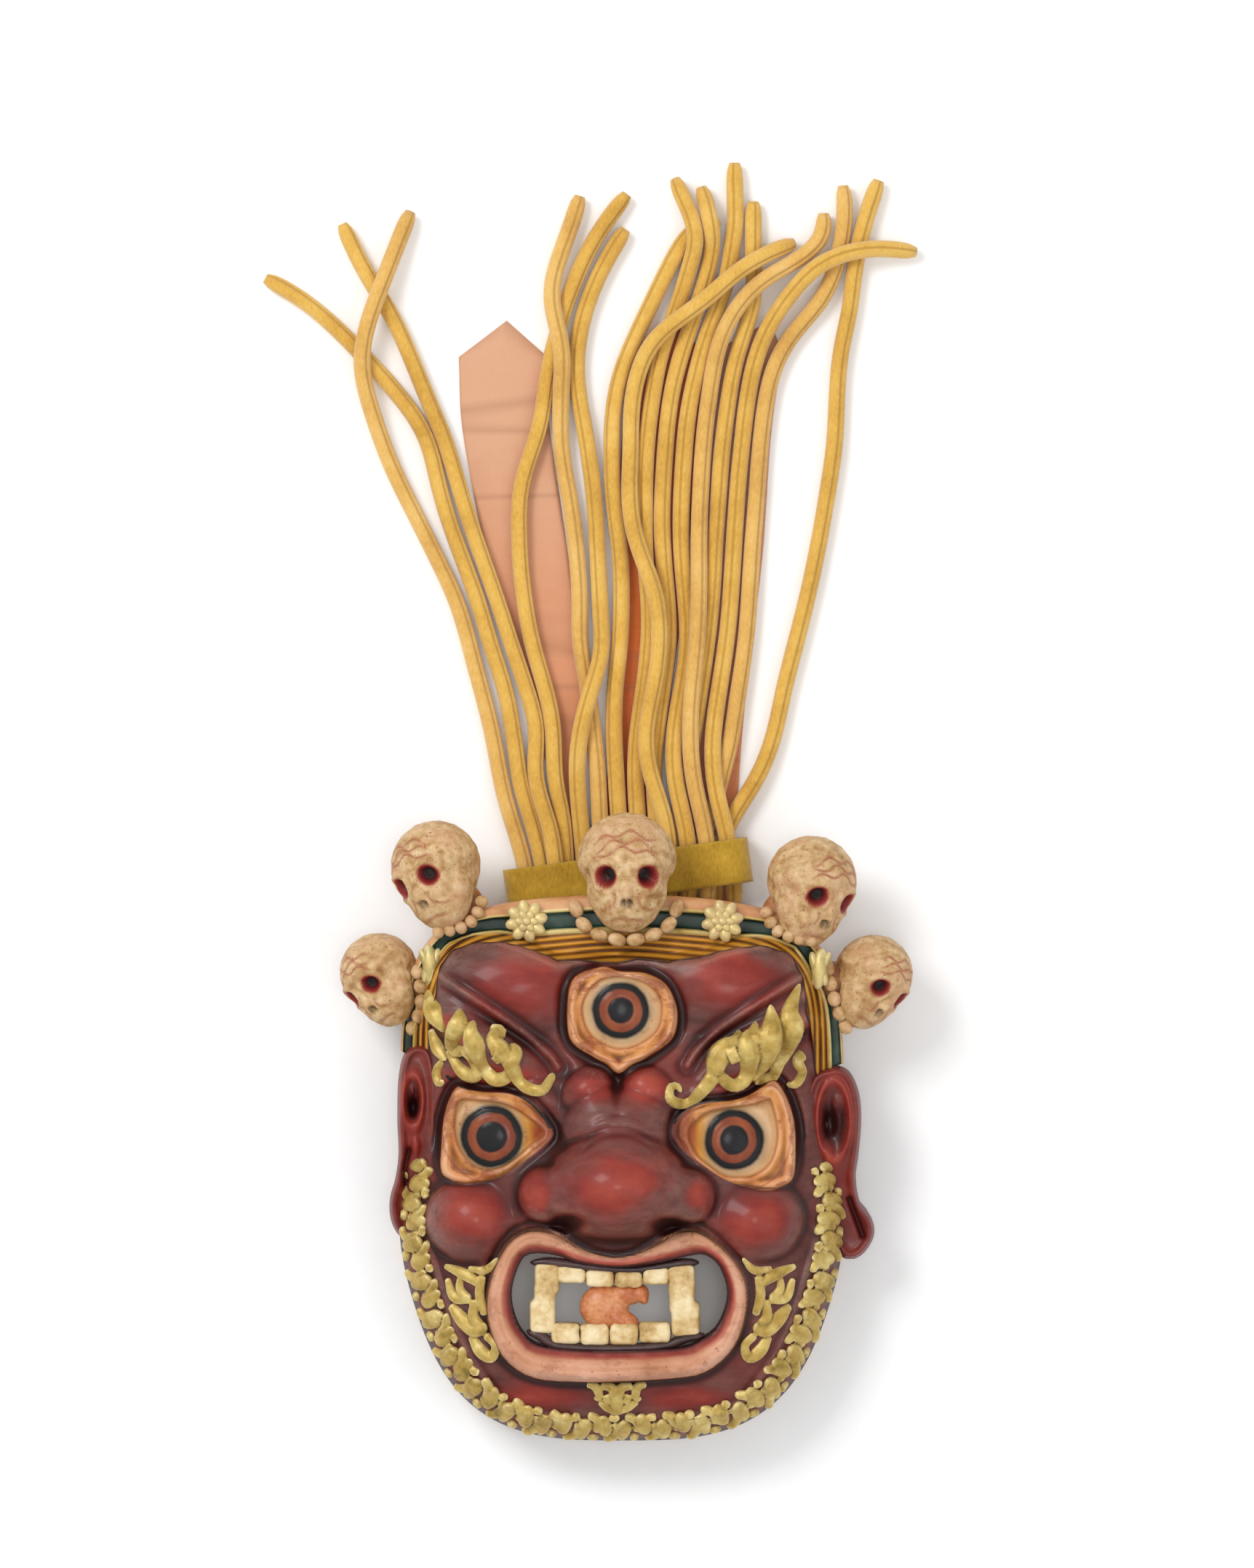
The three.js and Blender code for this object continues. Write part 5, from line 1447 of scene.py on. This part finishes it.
def makeEar(side, size):
    loop = smoothLine(size["outline"], 240, closed=True)
    loop = np.roll(loop, -int(loop[:, 1].argmax()), axis=0)
    bottom = int(loop[:, 1].argmin())
    low, high = loop[bottom, 1], loop[0, 1]
    sides = sorted([loop[bottom::-1], loop[bottom:]], key=lambda run: run[:, 0].mean())

    def front(u, v):
        y = low + (high - low) * (0.5 - 0.497 * np.cos(math.pi * v))
        left, right = [np.interp(y, run[:, 1], run[:, 0]) for run in sides]
        x = left + (right - left) * u
        rim, ring, bowl, hole, slit, knob = earShape(x, y, size)
        z = 47 + 13 * stepUp(y, -62, 12) + 2.6 * bell(rim - 3, 2) + 2.4 * ring + 2.6 * knob
        z = z - 3.5 * bowl - 6 * hole - 4 * slit - 8 * (1 - np.clip(rim / 2.4, 0, 1)) ** 2
        return toFrame(np.column_stack([x, y, z]))

    bm = gridShape(48, 150, front)
    faceUp(bm)
    edges = [e for e in bm.edges if e.is_boundary]
    middle = Vector(toFrame((loop[:, 0].mean(), loop[:, 1].mean(), 0)))
    for drop, keep in ((9, 1), (4, 0.9)):
        made = bmesh.ops.extrude_edge_only(bm, edges=edges)["geom"]
        edges = [g for g in made if isinstance(g, bmesh.types.BMEdge)]
        for vert in [g for g in made if isinstance(g, bmesh.types.BMVert)]:
            vert.co = (*(middle.xy + (vert.co.xy - middle.xy) * keep), vert.co.z - drop * mm)
    bmesh.ops.edgeloop_fill(bm, edges=edges)
    ear = keepCarving(f"ear_{side}", bm, lacquer)
    x, y = facePlaces(ear.data)
    rim, ring, bowl, hole, slit, knob = earShape(x, y, size)
    edge = bell(rim - 3, 2)
    # the bowl, hole and slit get low measures and the ring, rim and knobs high ones, so the lacquer paints
    # shade into the ear's hollows and highlight onto its ridges
    addMeasure(ear.data, "fine", 0.5 * ring + 0.3 * edge + 0.4 * knob - 0.7 * bowl - 1.4 * hole - 1.2 * slit)
    addMeasure(ear.data, "broad", 2 * ring + edge + 2 * knob - 3 * bowl - 3 * hole)
    addMeasure(ear.data, "red", np.clip(0.35 + 0.4 * ring + 0.3 * knob - 0.5 * bowl - 0.5 * hole, 0, 1))
    for name in ("frame", "opening", "lips", "mouth"):
        addMeasure(ear.data, name, np.full(len(x), -50.0))
    for name in ("pupil", "lid"):
        addMeasure(ear.data, name, np.full(len(x), 50.0))
    addMeasure(ear.data, "inward", np.zeros(len(x)))


for side, size in earSizes.items():
    makeEar(side, size)

# teeth, fangs, gums and tongue
print("mouth")
toothSizes = {
    "upper_teeth": [(-28.8, -77.4, 17.4, 10.8), (-12.4, -79.6, 16.6, 10.6), (3.8, -80.2, 16.4, 10.2),
                    (19.2, -78.4, 15.6, 10.4)],
    "lower_teeth": [(-32, -111, 17, 12.6), (-15.4, -111.6, 17.2, 12.8), (1.2, -111.4, 17, 12.8),
                    (18.6, -110.4, 18.6, 12.2)],
    "fangs": [(-42.4, -80, 14.6, 19), (-43.6, -91, 12.6, 18), (-44.8, -101.5, 15.4, 20), (33.8, -81, 16, 19),
              (34, -92, 15, 18), (36, -103, 17, 21)]}
gumLines = {
    "upper": [(-52, -71, 1.6), (-43, -70.4, 2.6), (-36, -70.9, 2.8), (-20, -73, 3), (-4, -74.6, 3),
              (11, -74.6, 3), (27, -72.2, 2.8), (36, -70.8, 2.6), (44, -71, 1.6)],
    "lower": [(-54, -109.5, 2), (-46, -112.4, 3), (-38, -117.4, 3), (-24, -119, 2.8), (-7, -119.4, 2.8),
              (10, -119, 2.8), (26, -117.4, 2.8), (34, -114.4, 3), (47, -111.6, 2)]}


def addBlock(bm, x, y, wide, tall, low, high, corner=2.6):
    made = bmesh.ops.create_cube(bm, size=1)["verts"]
    skew = dice.uniform(-0.04, 0.04)
    for vert in made:
        px, py = vert.co.x * wide, vert.co.y * tall
        z = low if vert.co.z < 0 else high
        shrink = 0.94 if vert.co.z > 0 else 1.0
        vert.co = toFrame((x + px * shrink + py * skew, y + py * shrink, z))
    edges = list({e for v in made for e in v.link_edges})
    bmesh.ops.bevel(bm, geom=edges, offset=corner * mm, segments=4, profile=0.5, affect="EDGES", material=-1)


def makeTeeth(name, blocks):
    bm = bmesh.new()
    for x, y, wide, tall in blocks:
        addBlock(bm, x, y, wide - 0.2, tall - 0.2, 68, 83 + dice.uniform(-0.8, 0.8))
    if name == "fangs":
        fuse(keepCarving(name, bm, toothPaint), 0.0009, 8)
        return
    long = [e for e in bm.edges if e.calc_length() > 0.004]
    bmesh.ops.subdivide_edges(bm, edges=long, cuts=3, use_grid_fill=True)
    for vert in bm.verts:
        wave = math.sin(vert.co.x * 900) * math.sin(vert.co.y * 760) * math.sin(vert.co.z * 600)
        vert.co += vert.normal * wave * 0.00035
    keepCarving(name, bm, toothPaint)


for name, blocks in toothSizes.items():
    makeTeeth(name, blocks)


def makeGums():
    bm = bmesh.new()
    for points in gumLines.values():
        addStroke(bm, points, flat=1.7, level=78.6, count=40, grow=1)
    fuse(keepCarving("gums", bm, gumPaint), 0.0009)


def makeTongue():
    bm = bmesh.new()
    for x, y, wide, tall, turn in ((-10, -96, 14, 13, 0.1), (3, -89, 9, 6, -0.1), (10.5, -88.5, 5, 5.5, 0.3),
                                   (12.6, -92, 2.6, 2.8, 0), (0, -104, 10, 6, -0.2)):
        addBlob(bm, (x, y, 75), (wide, tall, 7), turn, fine=4)
    fuse(keepCarving("tongue", bm, tonguePaint), 0.0009)


makeGums()
makeTongue()

# bring the scene up to date
bpy.context.view_layer.update()
